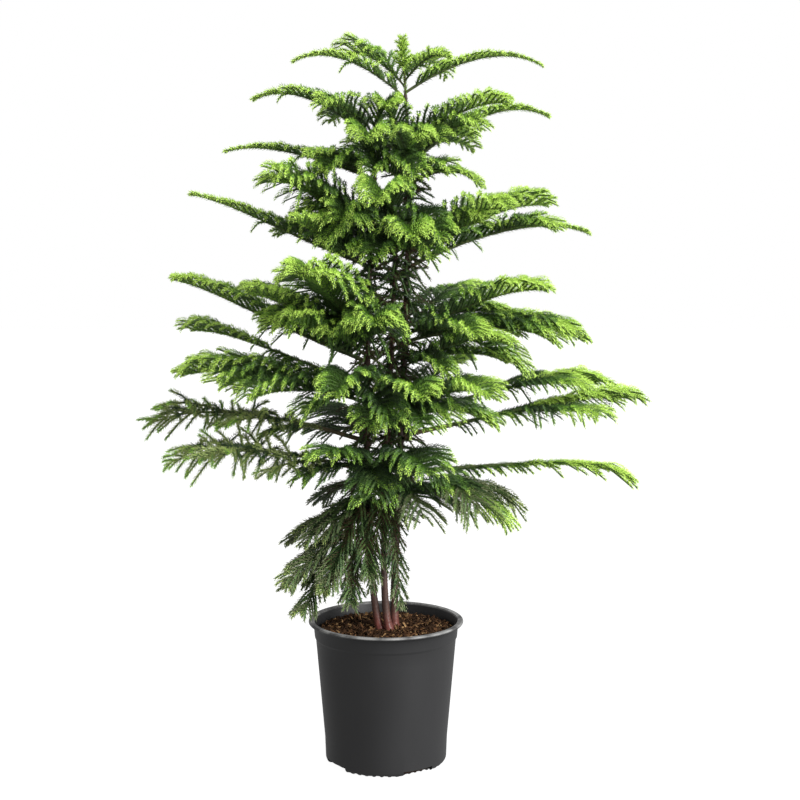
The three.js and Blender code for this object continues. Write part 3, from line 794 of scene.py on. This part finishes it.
def twig_places(frond, random):
    """Where two rows of twigs leave a frond: place along it, step, and hand, which is 1 or -1."""
    first = BOUGH_SHARE + FIRST_AFTER_BOUGH if frond.has_bough else TWIG_FIRST
    spacing = TWIG_SPACING * (OPEN_SPACING if frond.is_open else DENSE_SPACING.get(frond.label, 1.0))
    count = int(frond.length * (TWIG_LAST - first) / spacing)
    step = np.repeat(np.arange(count), 2)
    hand = np.tile([1.0, -1.0], count)
    t = first + (TWIG_LAST - first) * (step + np.where(hand > 0, 0.25, 0.75)) / count
    return np.clip(t + TWIG_JITTER * random.standard_normal(len(t)), first, TWIG_LAST), step, hand


def row_lift(frond, thin, step, at_back):
    """How far each twig's row is lifted out of the frond's plane, in degrees."""
    lift = frond.lift * np.where(thin, 0.0, CLUB_SIDE_LIFT if frond.is_clubbed and frond.is_side else 1.0)
    if frond.label in DENSE_SPACING:
        lift = lift * np.where(step % 2 > 0, LOW_ROW_LIFT, 1.0)
    return lift * np.where((frond.out[1] > -FRONT) & at_back, BACK_LIFT, 1.0)


def frond_twigs(index, frond, random):
    """One frond's two rows of twigs and the shoot at its tip."""
    t, step, hand = twig_places(frond, random)
    count = len(t)
    tangent = frond.tangent(t)
    above = unit(UP - tangent * tangent[:, 2:])
    side, above = rolled(frond, t, np.cross(tangent, above), above)
    thin = (t < CLUB_FROM) & (frond.is_clubbed and not frond.is_side)
    arch = 0.0 if frond.label in HANGING_FRONDS else float(ramp(frond.lift, ARCH_LIFTS))
    sag, hook, climb = (between((HANGING[key], ARCHED[key]), arch) for key in ARCHED)
    loose = between(LOOSENESS, arch)
    opening = between(SPRAY_SPREAD, arch)
    if frond.is_open:
        loose *= OPEN_LOOSENESS
        opening = between(OPEN_SPREAD, ramp(t, OPEN_ZONE))
        sag, hook = OPEN_SAG * sag, OPEN_SAG * hook

    spread = np.radians(opening - SPREAD_CLOSING * t + sway(random, count, SPREAD_CHANCE * loose))
    swing = SPRAY_SWING * loose * np.sin(SWING_TURN * step + hand)
    hanging_share = np.where(thin, CLUB_HANGING, between(HANGING_SHARE, arch))
    hangs = (random.random(count) < hanging_share) & (t < HANGING_TO)
    fall = chance(random, count, HANGING_FALL)
    lift = np.where(hangs, fall, row_lift(frond, thin, step, side[:, 1] * hand > 0))
    raised = np.radians(lift + swing + sway(random, count, LIFT_CHANCE * loose))
    across = round_axis(side * hand[:, None], above, raised)
    direction = round_axis(tangent, across, spread)
    direction[:, 2] += np.where(hangs, 0.0, climb)
    length = frond.spray * spray_share(t, frond) * (1 + sway(random, count, LENGTH_CHANCE * loose))
    length *= np.where(hangs, HANGING_LENGTH, 1.0)
    sag = sag * chance(random, count, SAG_CHANCE)
    hook = hook * chance(random, count, HOOK_CHANCE)

    bare = (thin | frond.is_side) & (frond.label in BARE_BACKED)
    kept = ~(bare & (direction[:, 1] > BARE_BACK_FROM))
    return Twigs(
        root=np.concatenate([frond.point(t[kept]), frond.point([TWIG_LAST])]),
        direction=np.concatenate([direction[kept], frond.tangent([TWIG_LAST])]),
        length=np.append(length[kept], frond.reach * (1 - TWIG_LAST) + TIP_SHOOT_EXTRA),
        sag=np.append(sag[kept], TIP_SHOOT_BEND),
        hook=np.append(hook[kept], TIP_SHOOT_BEND),
        along=np.append(t[kept], 1.0),
        frond=np.full(kept.sum() + 1, index),
    )


def clear_of_stems(twigs):
    """Whether each twig keeps away from every stem, and from the pot, along its outer part."""
    clear = np.ones(len(twigs.length), dtype=bool)
    for s in TWIG_TEST_PLACES:
        points = twigs.all_at(s)
        for stem in stems.values():
            clear &= np.hypot(*(points - stem.at(points[:, 2]))[:, :2].T) > TWIG_STEM_CLEARANCE
        over_pot = np.hypot(*points[:, :2].T) < POT_LIP_RADIUS + TWIG_POT_CLEARANCE
        clear &= ~(over_pot & (points[:, 2] < POT_HEIGHT + TWIG_POT_CLEARANCE))
    return clear


def shoots(index, stem, heights, lengths, kind, random):
    """Single twigs straight from a stem, turning round it as they go up."""
    count = len(heights)
    bearing = np.arange(count) * GOLDEN_TURN
    level = np.stack([np.cos(bearing), np.sin(bearing), np.zeros(count)], -1)
    climbs = np.radians(random.uniform(*kind["climb"], count))
    return Twigs(
        root=stem.at(heights),
        direction=round_axis(level, UP, climbs),
        length=lengths,
        sag=np.full(count, SHOOT_SAG),
        hook=np.full(count, SHOOT_HOOK),
        along=np.full(count, kind["along"]),
        frond=index,
    )


def stem_shoots(name, stem, fronds, random):
    """Short shaded shoots between the whorls, each counted with the frond that is nearest in height."""
    mine = np.array([i for i, frond in enumerate(fronds) if frond.stem == name and not frond.is_side])
    feet = np.array([fronds[i].foot[2] for i in mine])
    heights = np.arange(INNER_SHOOTS["low"], stem.top - INNER_SHOOTS["below_top"], INNER_SHOOTS["step"])
    nearest = mine[np.argmin(np.abs(heights[:, None] - feet), axis=1)]
    lengths = random.uniform(*INNER_SHOOTS["length"], len(heights))
    return shoots(nearest, stem, heights, lengths, INNER_SHOOTS, random)


def leader_tuft(name, stem, fronds, random):
    """Steep young shoots round the top of a stem, counted with its topmost frond."""
    count = LEADER_SHOOTS["count"]
    first = next(i for i, frond in enumerate(fronds) if frond.stem == name)
    low, high = (stem.top - gap for gap in LEADER_SHOOTS["below_top"])
    lengths = np.linspace(*LEADER_SHOOTS["length"], count)
    lengths *= 1.0 if name == TALLEST_STEM else SIDE_LEADER_SCALE
    return shoots(np.full(count, first), stem, np.linspace(low, high, count), lengths, LEADER_SHOOTS, random)


def all_twigs(fronds, random):
    sets = [frond_twigs(index, frond, random) for index, frond in enumerate(fronds)]
    sets += [stem_shoots(name, stem, fronds, random) for name, stem in stems.items()]
    whole = gathered(sets)
    tufts = [leader_tuft(name, stem, fronds, random) for name, stem in stems.items()]
    return gathered([picked(whole, clear_of_stems(whole)), *tufts])


def twig_mesh(twigs, rings=3, sides=3):
    """All twigs as slim three-sided tubes."""
    across, above = cross_axes(twigs.direction, steepest=0.9)
    spokes = round_axis(across[:, None], above[:, None], side_angles(sides))
    places = np.linspace(0, TWIG_END, rings)
    levels = [twigs.all_at(s)[:, None] + spokes * between(TWIG_RADIUS, s) for s in places]
    ends = [twigs.all_at(s)[:, None] for s in (0.0, 1.0)]
    vertices = np.concatenate(levels + ends, axis=1)
    faces = copied_faces(grid_faces(rings, sides), vertices.shape[1], len(vertices))
    return vertices.reshape(-1, 3), faces


def build_twigs(twigs):
    bark = bark_material("twig_green", (0.03, 0.07, 0.015), (0.08, 0.14, 0.03), 0.6)
    piece = mesh_object("frond_twigs", *twig_mesh(twigs), bark)
    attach(piece, "root")


# Needles: keeled spikes of four points, open only at the foot, which is sunk in the twig
NEEDLE_FACES = np.array([(0, 1, 3), (0, 3, 2), (1, 2, 3)])
NO_FROND = -1


@dataclass
class Needles:
    """Many needles at once: each leans from its base, between the axis of its twig and outward."""

    base: np.ndarray
    radial: np.ndarray
    axis: np.ndarray
    angle: np.ndarray
    length: np.ndarray
    colour: np.ndarray
    frond: np.ndarray


def needle_mesh(needles):
    lean = round_axis(needles.axis, needles.radial, needles.angle)
    keel = unit(needles.radial - lean * np.sum(needles.radial * lean, axis=1, keepdims=True))
    half = np.cross(lean, keel) * (0.5 * NEEDLE_WIDTH)
    reach = needles.length[:, None]
    root = needles.base + lean * (NEEDLE_FOOT * reach)
    tip = needles.base + lean * (NEEDLE_REACH * reach) + needles.axis * (NEEDLE_CURVE * reach)
    points = np.stack([root + half, root - half, root + keel * NEEDLE_KEEL, tip], axis=1)
    return points.reshape(-1, 3), copied_faces(NEEDLE_FACES, 4, len(reach))


def ladder_of(frond):
    """Numbers of a frond's colours, from old to young."""
    name = "green"
    if frond.is_open:
        name = "olive"
    elif frond.label in SHADED_INNER_FRONDS:
        name = "inner"
    elif frond.label in HANGING_FRONDS or (frond.is_side and frond.label in HANGING_SIDES):
        name = "hanging"
    return np.array([COLOUR_NUMBERS[colour] for colour in LADDERS[name]])


def per_twig(twigs, values):
    """One value for each frond, as one for each of the twigs that grow on it."""
    return np.array(values)[twigs.frond]


def spray_youth_and_painted_light(fronds, twigs, random):
    """How young the sprays on each twig look by their place: higher and further out is younger; towards the
    sun and pointing up is painted light, and on side fronds and near the stems is painted shade.
    """
    height = per_twig(twigs, [frond.foot[2] for frond in fronds])
    side = per_twig(twigs, [frond.is_side for frond in fronds])
    crown = ramp(height, CROWN_HEIGHTS)
    outer = ramp(twigs.along, OUTER_PLACES)
    # Painted light: sprays on the sun's side, towards +X, are dealt lighter colours
    sun_side_painted_light = ramp(twigs.root[:, 0], (0, PAINTED_SUN_SIDE_REACH))
    shares = {
        "base": 1.0,
        "tier": ramp(height, TIER_HEIGHTS),
        "crown": crown,
        "along": twigs.along,
        "outer": outer,
        "outer_sun_side_painted_light": outer * sun_side_painted_light,
        "sun_side_painted_light": sun_side_painted_light,
        # Painted light: twigs that point up are dealt lighter colours, as if lit from above
        "upward": twigs.direction[:, 2],
        # Painted shade: side fronds are dealt darker colours, most of all near their foot
        "side": side * (1 - SIDE_SHADE_EASING * twigs.along),
        # Painted shade: sprays near the stems, below the crown, are dealt darker colours
        "painted_core_shade": ramp(np.hypot(*twigs.root[:, :2].T), (PAINTED_SHADE_CORE_RADIUS, 0)) * (1 - crown),
        "chance": random.standard_normal(len(height)),
    }
    shift = per_twig(twigs, [YOUTH_AND_PAINTED_LIGHT_SHIFTS.get(frond.label, 0.0) for frond in fronds])
    return sum(YOUTH_AND_PAINTED_LIGHT[name] * share for name, share in shares.items()) + shift


def spray_colours(fronds, twigs, which, to_tip, random):
    """Each needle's colour: a step of its frond's ladder, by how young its spray looks and the painted light
    and shade mixed into that.
    """
    youths = np.stack([part + spray_youth_and_painted_light(fronds, twigs, random) for part in ZONE_YOUTH], axis=1)
    youth = youths[which, np.digitize(to_tip, TIP_ZONES)]
    step = np.clip((LADDER_STEPS * youth).astype(int), 0, LADDER_STEPS - 1)
    ladders = np.array([ladder_of(frond) for frond in fronds])
    withered = (twigs.along < 0) & (random.random(len(twigs.along)) < WITHERED_SHARE)
    return np.where(withered[which], COLOUR_NUMBERS["dry"], ladders[twigs.frond[which], step])


def needles_on_twigs(fronds, twigs, random):
    hanging = per_twig(twigs, [frond.label in HANGING_FRONDS for frond in fronds])
    old = hanging | per_twig(twigs, [frond.is_open for frond in fronds])
    spacing = NEEDLE_SPACING * np.where(twigs.along < INNER_ALONG, INNER_SPACING, 1.0)
    spacing *= np.where(hanging, OLD_NEEDLE_SPACING, 1.0)
    count = np.maximum(LEAST_NEEDLES, (twigs.length / spacing).astype(int))
    which = np.repeat(np.arange(len(count)), count)
    total = len(which)
    rank = np.arange(total) - np.repeat(np.cumsum(count) - count, count)
    s = (rank + chance(random, total, NEEDLE_PLACE_CHANCE)) / count[which]
    axis = twigs.tangent(which, s)
    start = NEEDLE_TURN_RANGE * random.random(len(count))
    turn = rank * GOLDEN_TURN + start[which] + NEEDLE_TURN_CHANCE * random.standard_normal(total)
    radial = round_axis(*cross_axes(axis), turn)
    base = twigs.point(which, s) + radial * (NEEDLE_ROOT * between(TWIG_RADIUS, s))[:, None]
    to_tip = (1 - s) * twigs.length[which]
    taper = ramp(to_tip, (0, TIP_TAPER))
    lean = between(NEEDLE_ANGLE, s) + NEEDLE_ANGLE_CHANCE * random.standard_normal(total)
    lean *= between(TIP_LEAN, taper)
    length = NEEDLE_LENGTH * chance(random, total, NEEDLE_LENGTH_CHANCE) * between(TIP_LENGTH, taper)
    length *= np.where(old, OLD_NEEDLE_LENGTH, 1.0)[which]
    colour = spray_colours(fronds, twigs, which, to_tip, random)
    return Needles(base, radial, axis, np.radians(lean), length, colour, twigs.frond[which])


def needles_on_limb(centres, tangents, radii, colour, index, lean, random):
    """Needles straight on a stem or on a frond's own axis."""
    count = len(centres)
    turn = np.arange(count) * GOLDEN_TURN + NEEDLE_TURN_CHANCE * random.standard_normal(count)
    radial = round_axis(*cross_axes(tangents), turn)
    base = centres + radial * (LIMB_NEEDLE_ROOT * radii)[:, None]
    angle = np.radians(lean + NEEDLE_ANGLE_CHANCE * random.standard_normal(count))
    length = NEEDLE_LENGTH * chance(random, count, LIMB_NEEDLE_LENGTH_CHANCE)
    return Needles(base, radial, tangents, angle, length, colour, np.full(count, index))


def needles_on_axis(index, frond, random):
    """Needles round a frond's own axis, younger towards its tip."""
    first = BOUGH_SHARE if frond.has_bough else AXIS_NEEDLES["first"]
    t = np.arange(first, TWIG_LAST, AXIS_NEEDLES["step"] / frond.length)
    step = (LADDER_STEPS * between(AXIS_NEEDLES["youth"], t)).astype(int)
    colour = ladder_of(frond)[np.minimum(step, AXIS_NEEDLES["highest"])]
    return needles_on_limb(*frond.line(t), colour, index, AXIS_NEEDLES["lean"], random)


def stem_needles(stem, top_whorl, random):
    """Old scales up to the top whorl, and the leader's young needles above it."""
    heights = np.arange(SCALES["first"], top_whorl, SCALES["step"])
    count = len(heights)
    shares = (SCALES["withered"], 1 - SCALES["withered"])
    old = random.choice([COLOUR_NUMBERS["dry"], COLOUR_NUMBERS["shade"]], count, p=shares)
    young = random.choice([COLOUR_NUMBERS["deep"], COLOUR_NUMBERS["grown"]], count)
    edge = SCALES["young_from"] + SCALES["young_chance"] * random.standard_normal(count)
    colour = np.where(heights > edge, young, old)
    scales = needles_on_limb(*stem.line(heights), colour, NO_FROND, SCALES["lean"], random)
    heights = np.arange(top_whorl + LEADER_NEEDLES["first"], stem.top + 1, LEADER_NEEDLES["step"])
    in_tip = heights > heights[-1] - LEADER_NEEDLES["tip"]
    colour = np.where(in_tip, COLOUR_NUMBERS["tip"], COLOUR_NUMBERS["fresh"])
    return [scales, needles_on_limb(*stem.line(heights), colour, NO_FROND, LEADER_NEEDLES["lean"], random)]


def build_needles(needles, fronds):
    """Needles of each colour joined into pieces, each standing for the foliage it grows on."""
    for name, number in COLOUR_NUMBERS.items():
        material = needle_material(f"needle_{name}", NEEDLE_COLOURS[name])
        mine = np.flatnonzero(needles.colour == number)
        for part, start in enumerate(range(0, len(mine), NEEDLES_PER_PIECE)):
            some = picked(needles, mine[start:start + NEEDLES_PER_PIECE])
            piece = mesh_object(f"needles_{name}_{part + 1}", *needle_mesh(some), material)
            labels = sorted({fronds[i].label for i in np.unique(some.frond) if i != NO_FROND})
            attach(piece, "root")
            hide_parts(*(f"foliage_{label}" for label in labels))


# Bark: stems, boughs and the fronds' axes
def stem_relief(angle, level, random):
    """Wrinkles low on a stem, leaf cushions further up and slow lumps all along it."""
    cushions = np.cos(3 * angle + 0.55 * level) * np.cos(5 * angle - 0.42 * level)
    wrinkles = np.sin(1.15 * level + 1.4 * np.sin(angle + 0.03 * level))
    lumps = np.sin(2 * angle + 0.021 * level + random.random() * 6) * np.sin(0.045 * level)
    scaly = ramp(level, STEM_SCALY_ZONE)
    low, high = STEM_RELIEF["wrinkles"] * wrinkles, STEM_RELIEF["cushions"] * cushions
    return high * scaly + low * (1 - scaly) + STEM_RELIEF["lumps"] * lumps


def build_stem(name, stem, whorl_heights, material, random):
    heights = np.arange(SOIL_TOP + SOIL_GAP, stem.top, STEM_STEP)
    centres, tangents, radius = stem.line(heights)
    level = heights[:, None]
    radii = np.repeat(radius[:, None], STEM_SIDES, axis=1)
    relief = stem_relief(side_angles(STEM_SIDES), level, random) * np.minimum(1, radii / STEM_FULL_RELIEF)
    radii += relief + STEM_RELIEF["grain"] * random.standard_normal(radii.shape)
    for whorl in whorl_heights:
        radii += STEM_RELIEF["whorl"] * np.exp(-(((level - whorl) / WHORL_SWELLING) ** 2))
    vertices, triangles = tube(centres, tangents, radii, np.array([0.0, -1.0, 0.0]))
    piece = mesh_object(f"stem_{name}_bark", vertices, triangles, material, smooth=True)
    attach(piece, "root")
    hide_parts(f"stem_{name}")


def limb_tube(frond, start, end, rings, sides):
    t = np.linspace(start, end, rings)
    level = (t * frond.reach)[:, None]
    angle = side_angles(sides)
    relief = 1 + LIMB_RELIEF * np.cos(2 * angle + 0.9 * level) * np.cos(3 * angle - 0.7 * level)
    centres, tangents, radius = frond.line(t)
    return tube(centres, tangents, radius[:, None] * relief, UP)


def build_boughs(fronds):
    bark = bark_material("bough_bark", (0.035, 0.03, 0.012), (0.13, 0.095, 0.04), 0.7)
    carriers = [frond for frond in fronds if frond.has_bough]
    tubes = [limb_tube(frond, LIMB_FOOT, BOUGH_SHARE + BOUGH_OVERLAP, *BOUGH_GRID) for frond in carriers]
    piece = mesh_object("bough_limbs", *joined(tubes), bark, smooth=True)
    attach(piece, "root")
    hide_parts(*(f"bough_{frond.label}" for frond in carriers))


def build_axes(fronds):
    bark = bark_material("green_twig_bark", (0.03, 0.05, 0.014), (0.1, 0.12, 0.035), 0.65)
    tubes = []
    for frond in fronds:
        start = BOUGH_SHARE if frond.has_bough else LIMB_FOOT
        tubes.append(limb_tube(frond, start, TWIG_LAST, *AXIS_GRID))
    piece = mesh_object("frond_axes", *joined(tubes), bark, smooth=True)
    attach(piece, "root")


# Pot and potting mix
BOX_CORNERS = np.array([(x, y, z) for z in (-1, 1) for y in (-1, 1) for x in (-1, 1)], dtype=float)
BOX_FACES = [(0, 2, 3, 1), (4, 5, 7, 6), (0, 1, 5, 4), (2, 6, 7, 3), (0, 4, 6, 2), (1, 3, 7, 5)]
BOX_TRIANGLES = np.array([half for a, b, c, d in BOX_FACES for half in ((a, b, c), (a, c, d))])


def wall_radius(height):
    return between((POT_FOOT_RADIUS, POT_TOP_RADIUS), height / POT_HEIGHT)


def wall_point(height, outward=0.0):
    return (wall_radius(height) + outward, height)


def arc(centre, radius, start, end, steps):
    turn = np.radians(np.linspace(start, end, steps))
    return [(centre[0] + radius * math.cos(a), centre[1] + radius * math.sin(a)) for a in turn]


def lathe(profile, segments):
    """A closed solid of revolution; the profile starts and ends on the axis."""
    profile = np.asarray(profile, dtype=float)
    angle = side_angles(segments)
    inner = profile[1:-1]
    rings = np.stack([inner[:, :1] * np.cos(angle), inner[:, :1] * np.sin(angle),
                      np.repeat(inner[:, 1:], segments, axis=1)], axis=-1)
    ends = np.array([[0, 0, profile[0, 1]], [0, 0, profile[-1, 1]]])
    return np.concatenate([rings.reshape(-1, 3), ends]), grid_faces(len(inner), segments)


def pot_profile():
    """The outline from under the foot, up the outside, over the lip and down to the floor inside."""
    lip_foot = POT_HEIGHT - POT_LIP_HEIGHT
    band_foot = POT_HEIGHT - POT_BAND_DROP
    lip_middle = (POT_LIP_RADIUS - POT_LIP_ROUND, POT_HEIGHT - POT_LIP_ROUND)
    corner = (wall_radius(POT_CORNER) - POT_CORNER, POT_CORNER)
    thickness = POT_BAND_STEP + POT_WALL
    inner_top = POT_TOP_RADIUS - POT_WALL
    outside = [(0, 0), (40, 0), *arc(corner, POT_CORNER, -90, 0, 8)]
    outside += [wall_point(height, -POT_BAND_STEP) for height in (40, 90, 140, 180, band_foot - 5)]
    outside += [wall_point(band_foot - 3, -1.2), wall_point(band_foot - 1.4, -0.2), wall_point(band_foot)]
    outside += [wall_point(lip_foot - 2), (wall_radius(lip_foot) + 0.8, lip_foot - 0.4)]
    outside += [(POT_LIP_RADIUS - 2.8, lip_foot + 0.2), *arc(lip_middle, POT_LIP_ROUND, -70, 110, 10)]
    inside = [(inner_top + 1, POT_HEIGHT - 0.6), (inner_top, POT_HEIGHT - 2.2)]
    inside += [(wall_radius(band_foot) - thickness, band_foot - 3)]
    inside += [(wall_radius(POT_FLOOR) - thickness, POT_FLOOR + 2), (80, POT_FLOOR), (0, POT_FLOOR)]
    return outside + inside


def toothed(vertices):
    """The foot's edge with shallow notches between small teeth."""
    bearing = np.arctan2(vertices[:, 1], vertices[:, 0])
    edge = np.hypot(vertices[:, 0], vertices[:, 1]) > POT_FOOT_RADIUS - POT_CORNER - 0.5
    notch = edge & (vertices[:, 2] < POT_TOOTH_TOP) & (np.cos(POT_TEETH * bearing) > POT_NOTCH_FROM)
    uneven = 0.45 + 0.55 * np.sin(5.3 * bearing + 1.1 * np.sin(3 * bearing)) ** 2
    raised = POT_TOOTH_HEIGHT * uneven * (1 - vertices[:, 2] / POT_TOOTH_TOP)
    return vertices + UP * np.where(notch, raised, 0.0)[:, None]


def cutter_box(index):
    mesh = bpy.data.meshes.new("drain_cutter")
    corners = BOX_CORNERS * np.array(DRAIN_SIZE) * 0.5 * MM
    corners[:, 0] += POT_FOOT_RADIUS * MM
    mesh.from_pydata(corners.tolist(), [], BOX_FACES)
    obj = linked("drain_cutter", mesh)
    obj.rotation_euler[2] = math.radians(DRAIN_BEARING + 360 / DRAIN_GAPS * index)
    return obj


def build_pot(material):
    vertices, triangles = lathe(pot_profile(), POT_SEGMENTS)
    pot = mesh_object("pot_shell", toothed(vertices), triangles, material, smooth=True)
    cutters = [cutter_box(index) for index in range(DRAIN_GAPS)]
    for cutter in cutters:
        cut = pot.modifiers.new("drain_gap", "BOOLEAN")
        cut.operation = "DIFFERENCE"
        cut.solver = "EXACT"
        cut.object = cutter
    bpy.context.view_layer.update()
    shaped = bpy.data.meshes.new_from_object(pot.evaluated_get(bpy.context.evaluated_depsgraph_get()))
    pot.modifiers.clear()
    pot.data = shaped
    for cutter in cutters:
        bpy.data.objects.remove(cutter)
    shaped.shade_smooth()
    shaped.set_sharp_from_angle(angle=math.radians(POT_SHARP_ANGLE))
    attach(pot, "root")
    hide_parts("pot")


def build_soil(material, random):
    """The body of the potting mix, uneven on top."""
    foot = POT_FLOOR + SOIL_GAP
    foot_radius = wall_radius(POT_FLOOR) - POT_WALL - POT_BAND_STEP - SOIL_WALL_GAP
    profile = [(0, foot), (foot_radius - SOIL_CORNER, foot), (foot_radius, POT_FLOOR + SOIL_CORNER)]
    profile += [(radius, SOIL_TOP) for radius in np.linspace(SOIL_RADIUS, SOIL_INNER_RING, SOIL_RINGS)]
    vertices, triangles = lathe(profile + [(0, SOIL_TOP)], SOIL_SEGMENTS)
    top = vertices[:, 2] > SOIL_TOP - 1
    vertices[top, 2] += SOIL_ROUGHNESS * random.standard_normal(top.sum()) - SOIL_SINK
    soil = mesh_object("potting_mix", vertices, triangles, material, smooth=True)
    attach(soil, "root")
    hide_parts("soil")


def chip_points(random):
    """Corners of all bark chips: uneven boxes that lie more or less flat."""
    share = np.sqrt(random.random(CHIPS))
    bearing = 2 * math.pi * random.random(CHIPS)
    level = SOIL_TOP + chance(random, CHIPS, CHIP_LEVEL)
    long_half = CHIP_LENGTH[0] + CHIP_LENGTH[1] * random.random(CHIPS) ** 2
    halves = [long_half, chance(random, CHIPS, CHIP_WIDTH), chance(random, CHIPS, CHIP_THICKNESS)]
    place = share * (SOIL_RADIUS - CHIP_WALL_GAP * long_half)
    centre = np.stack([place * np.cos(bearing), place * np.sin(bearing), level], -1)
    upward = unit(random.standard_normal((CHIPS, 3)) + UP * CHIP_FLATNESS)
    first = unit(np.cross(upward, unit(random.standard_normal((CHIPS, 3)))))
    second = np.cross(upward, first)
    local = BOX_CORNERS * np.stack(halves, -1)[:, None] * chance(random, (CHIPS, 8, 3), CHIP_CORNERS)
    axes = np.stack([first, second, upward], axis=1)
    return centre[:, None] + local @ axes


def build_chips(random):
    points = chip_points(random)
    kinds = random.choice(len(CHIP_KINDS), CHIPS, p=[share for share, *_ in CHIP_KINDS.values()])
    for number, (kind, (_, dark, light)) in enumerate(CHIP_KINDS.items()):
        mine = points[kinds == number]
        triangles = copied_faces(BOX_TRIANGLES, 8, len(mine))
        material = soil_material(f"{kind}_bark_chip", dark, light)
        chips = mesh_object(f"bark_chips_{kind}", mine.reshape(-1, 3), triangles, material)
        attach(chips, "root")


# Stage, camera and lights
def facing(toward):
    """Turns a light to shine from this direction on the plant."""
    x, y, z = unit(np.array(toward))
    return (math.acos(z), 0.0, math.atan2(x, -y))


def build_camera():
    camera = bpy.data.cameras.new("camera")
    camera.lens = CAMERA_LENS
    camera.sensor_width = SENSOR_WIDTH
    camera.sensor_fit = "HORIZONTAL"
    view = linked("camera", camera)
    view.location = CAMERA_PLACE
    view.rotation_euler = (math.radians(90 - CAMERA_PITCH), 0, 0)
    bpy.context.scene.camera = view


def build_floor():
    mesh = bpy.data.meshes.new("floor")
    corners = [(x, y, -FLOOR_DROP) for y in (-FLOOR_REACH, FLOOR_REACH) for x in (-FLOOR_REACH, FLOOR_REACH)]
    mesh.from_pydata(corners, [], [(0, 1, 3, 2)])
    mesh.materials.append(floor_material())
    floor = linked("floor", mesh)


def build_world():
    """Soft light from all round, with a brighter white for the eye."""
    world = bpy.data.worlds.new("studio")
    world.use_nodes = True
    tree = world.node_tree
    light = tree.nodes["Background"]
    set_inputs(tree, light, Color=WHITE, Strength=WORLD_LIGHT)
    seen = add_node(tree, "Background", Color=WHITE)
    by_eye = add_node(tree, "LightPath").outputs["Is Camera Ray"]
    chosen = add_node(tree, "MixShader", Fac=by_eye)
    for socket, source in ((1, light), (2, seen)):
        tree.links.new(source.outputs["Background"], chosen.inputs[socket])
    set_inputs(tree, tree.nodes["World Output"], Surface=chosen.outputs["Shader"])
    bpy.context.scene.world = world
    bpy.context.scene.view_settings.view_transform = "Standard"


def build_lights():
    sun = bpy.data.lights.new("key_light", "SUN")
    sun.energy = SUN["power"]
    sun.angle = math.radians(SUN["spread"])
    key = linked("key_light", sun)
    key.rotation_euler = facing(SUN["from"])

    box = bpy.data.lights.new("soft_box", "AREA")
    box.shape = "RECTANGLE"
    box.size, box.size_y = SOFT_BOX["size"]
    box.energy = SOFT_BOX["power"]
    soft = linked("soft_box", box)
    soft.location = SOFT_BOX["place"]
    soft.rotation_euler = facing(SOFT_BOX["from"])


def main():
    random = np.random.default_rng(SEED)
    build_camera()
    build_floor()
    build_world()
    build_lights()
    build_pot(plastic_material())
    build_soil(soil_material("potting_mix", *SOIL_TONES), random)
    build_chips(random)

    whorls = {name: [height for stem, height, *_ in WHORLS if stem == name] for name in STEMS}
    red_bark = stem_material()
    for name, stem in stems.items():
        build_stem(name, stem, whorls[name], red_bark, random)
    fronds = grow_fronds()
    build_boughs(fronds)
    build_axes(fronds)
    twigs = all_twigs(fronds, random)
    build_twigs(twigs)

    sets = [needles_on_twigs(fronds, twigs, random)]
    sets += [needles_on_axis(index, frond, random) for index, frond in enumerate(fronds)]
    for name, stem in stems.items():
        sets += stem_needles(stem, whorls[name][0], random)
    build_needles(gathered(sets), fronds)


main()
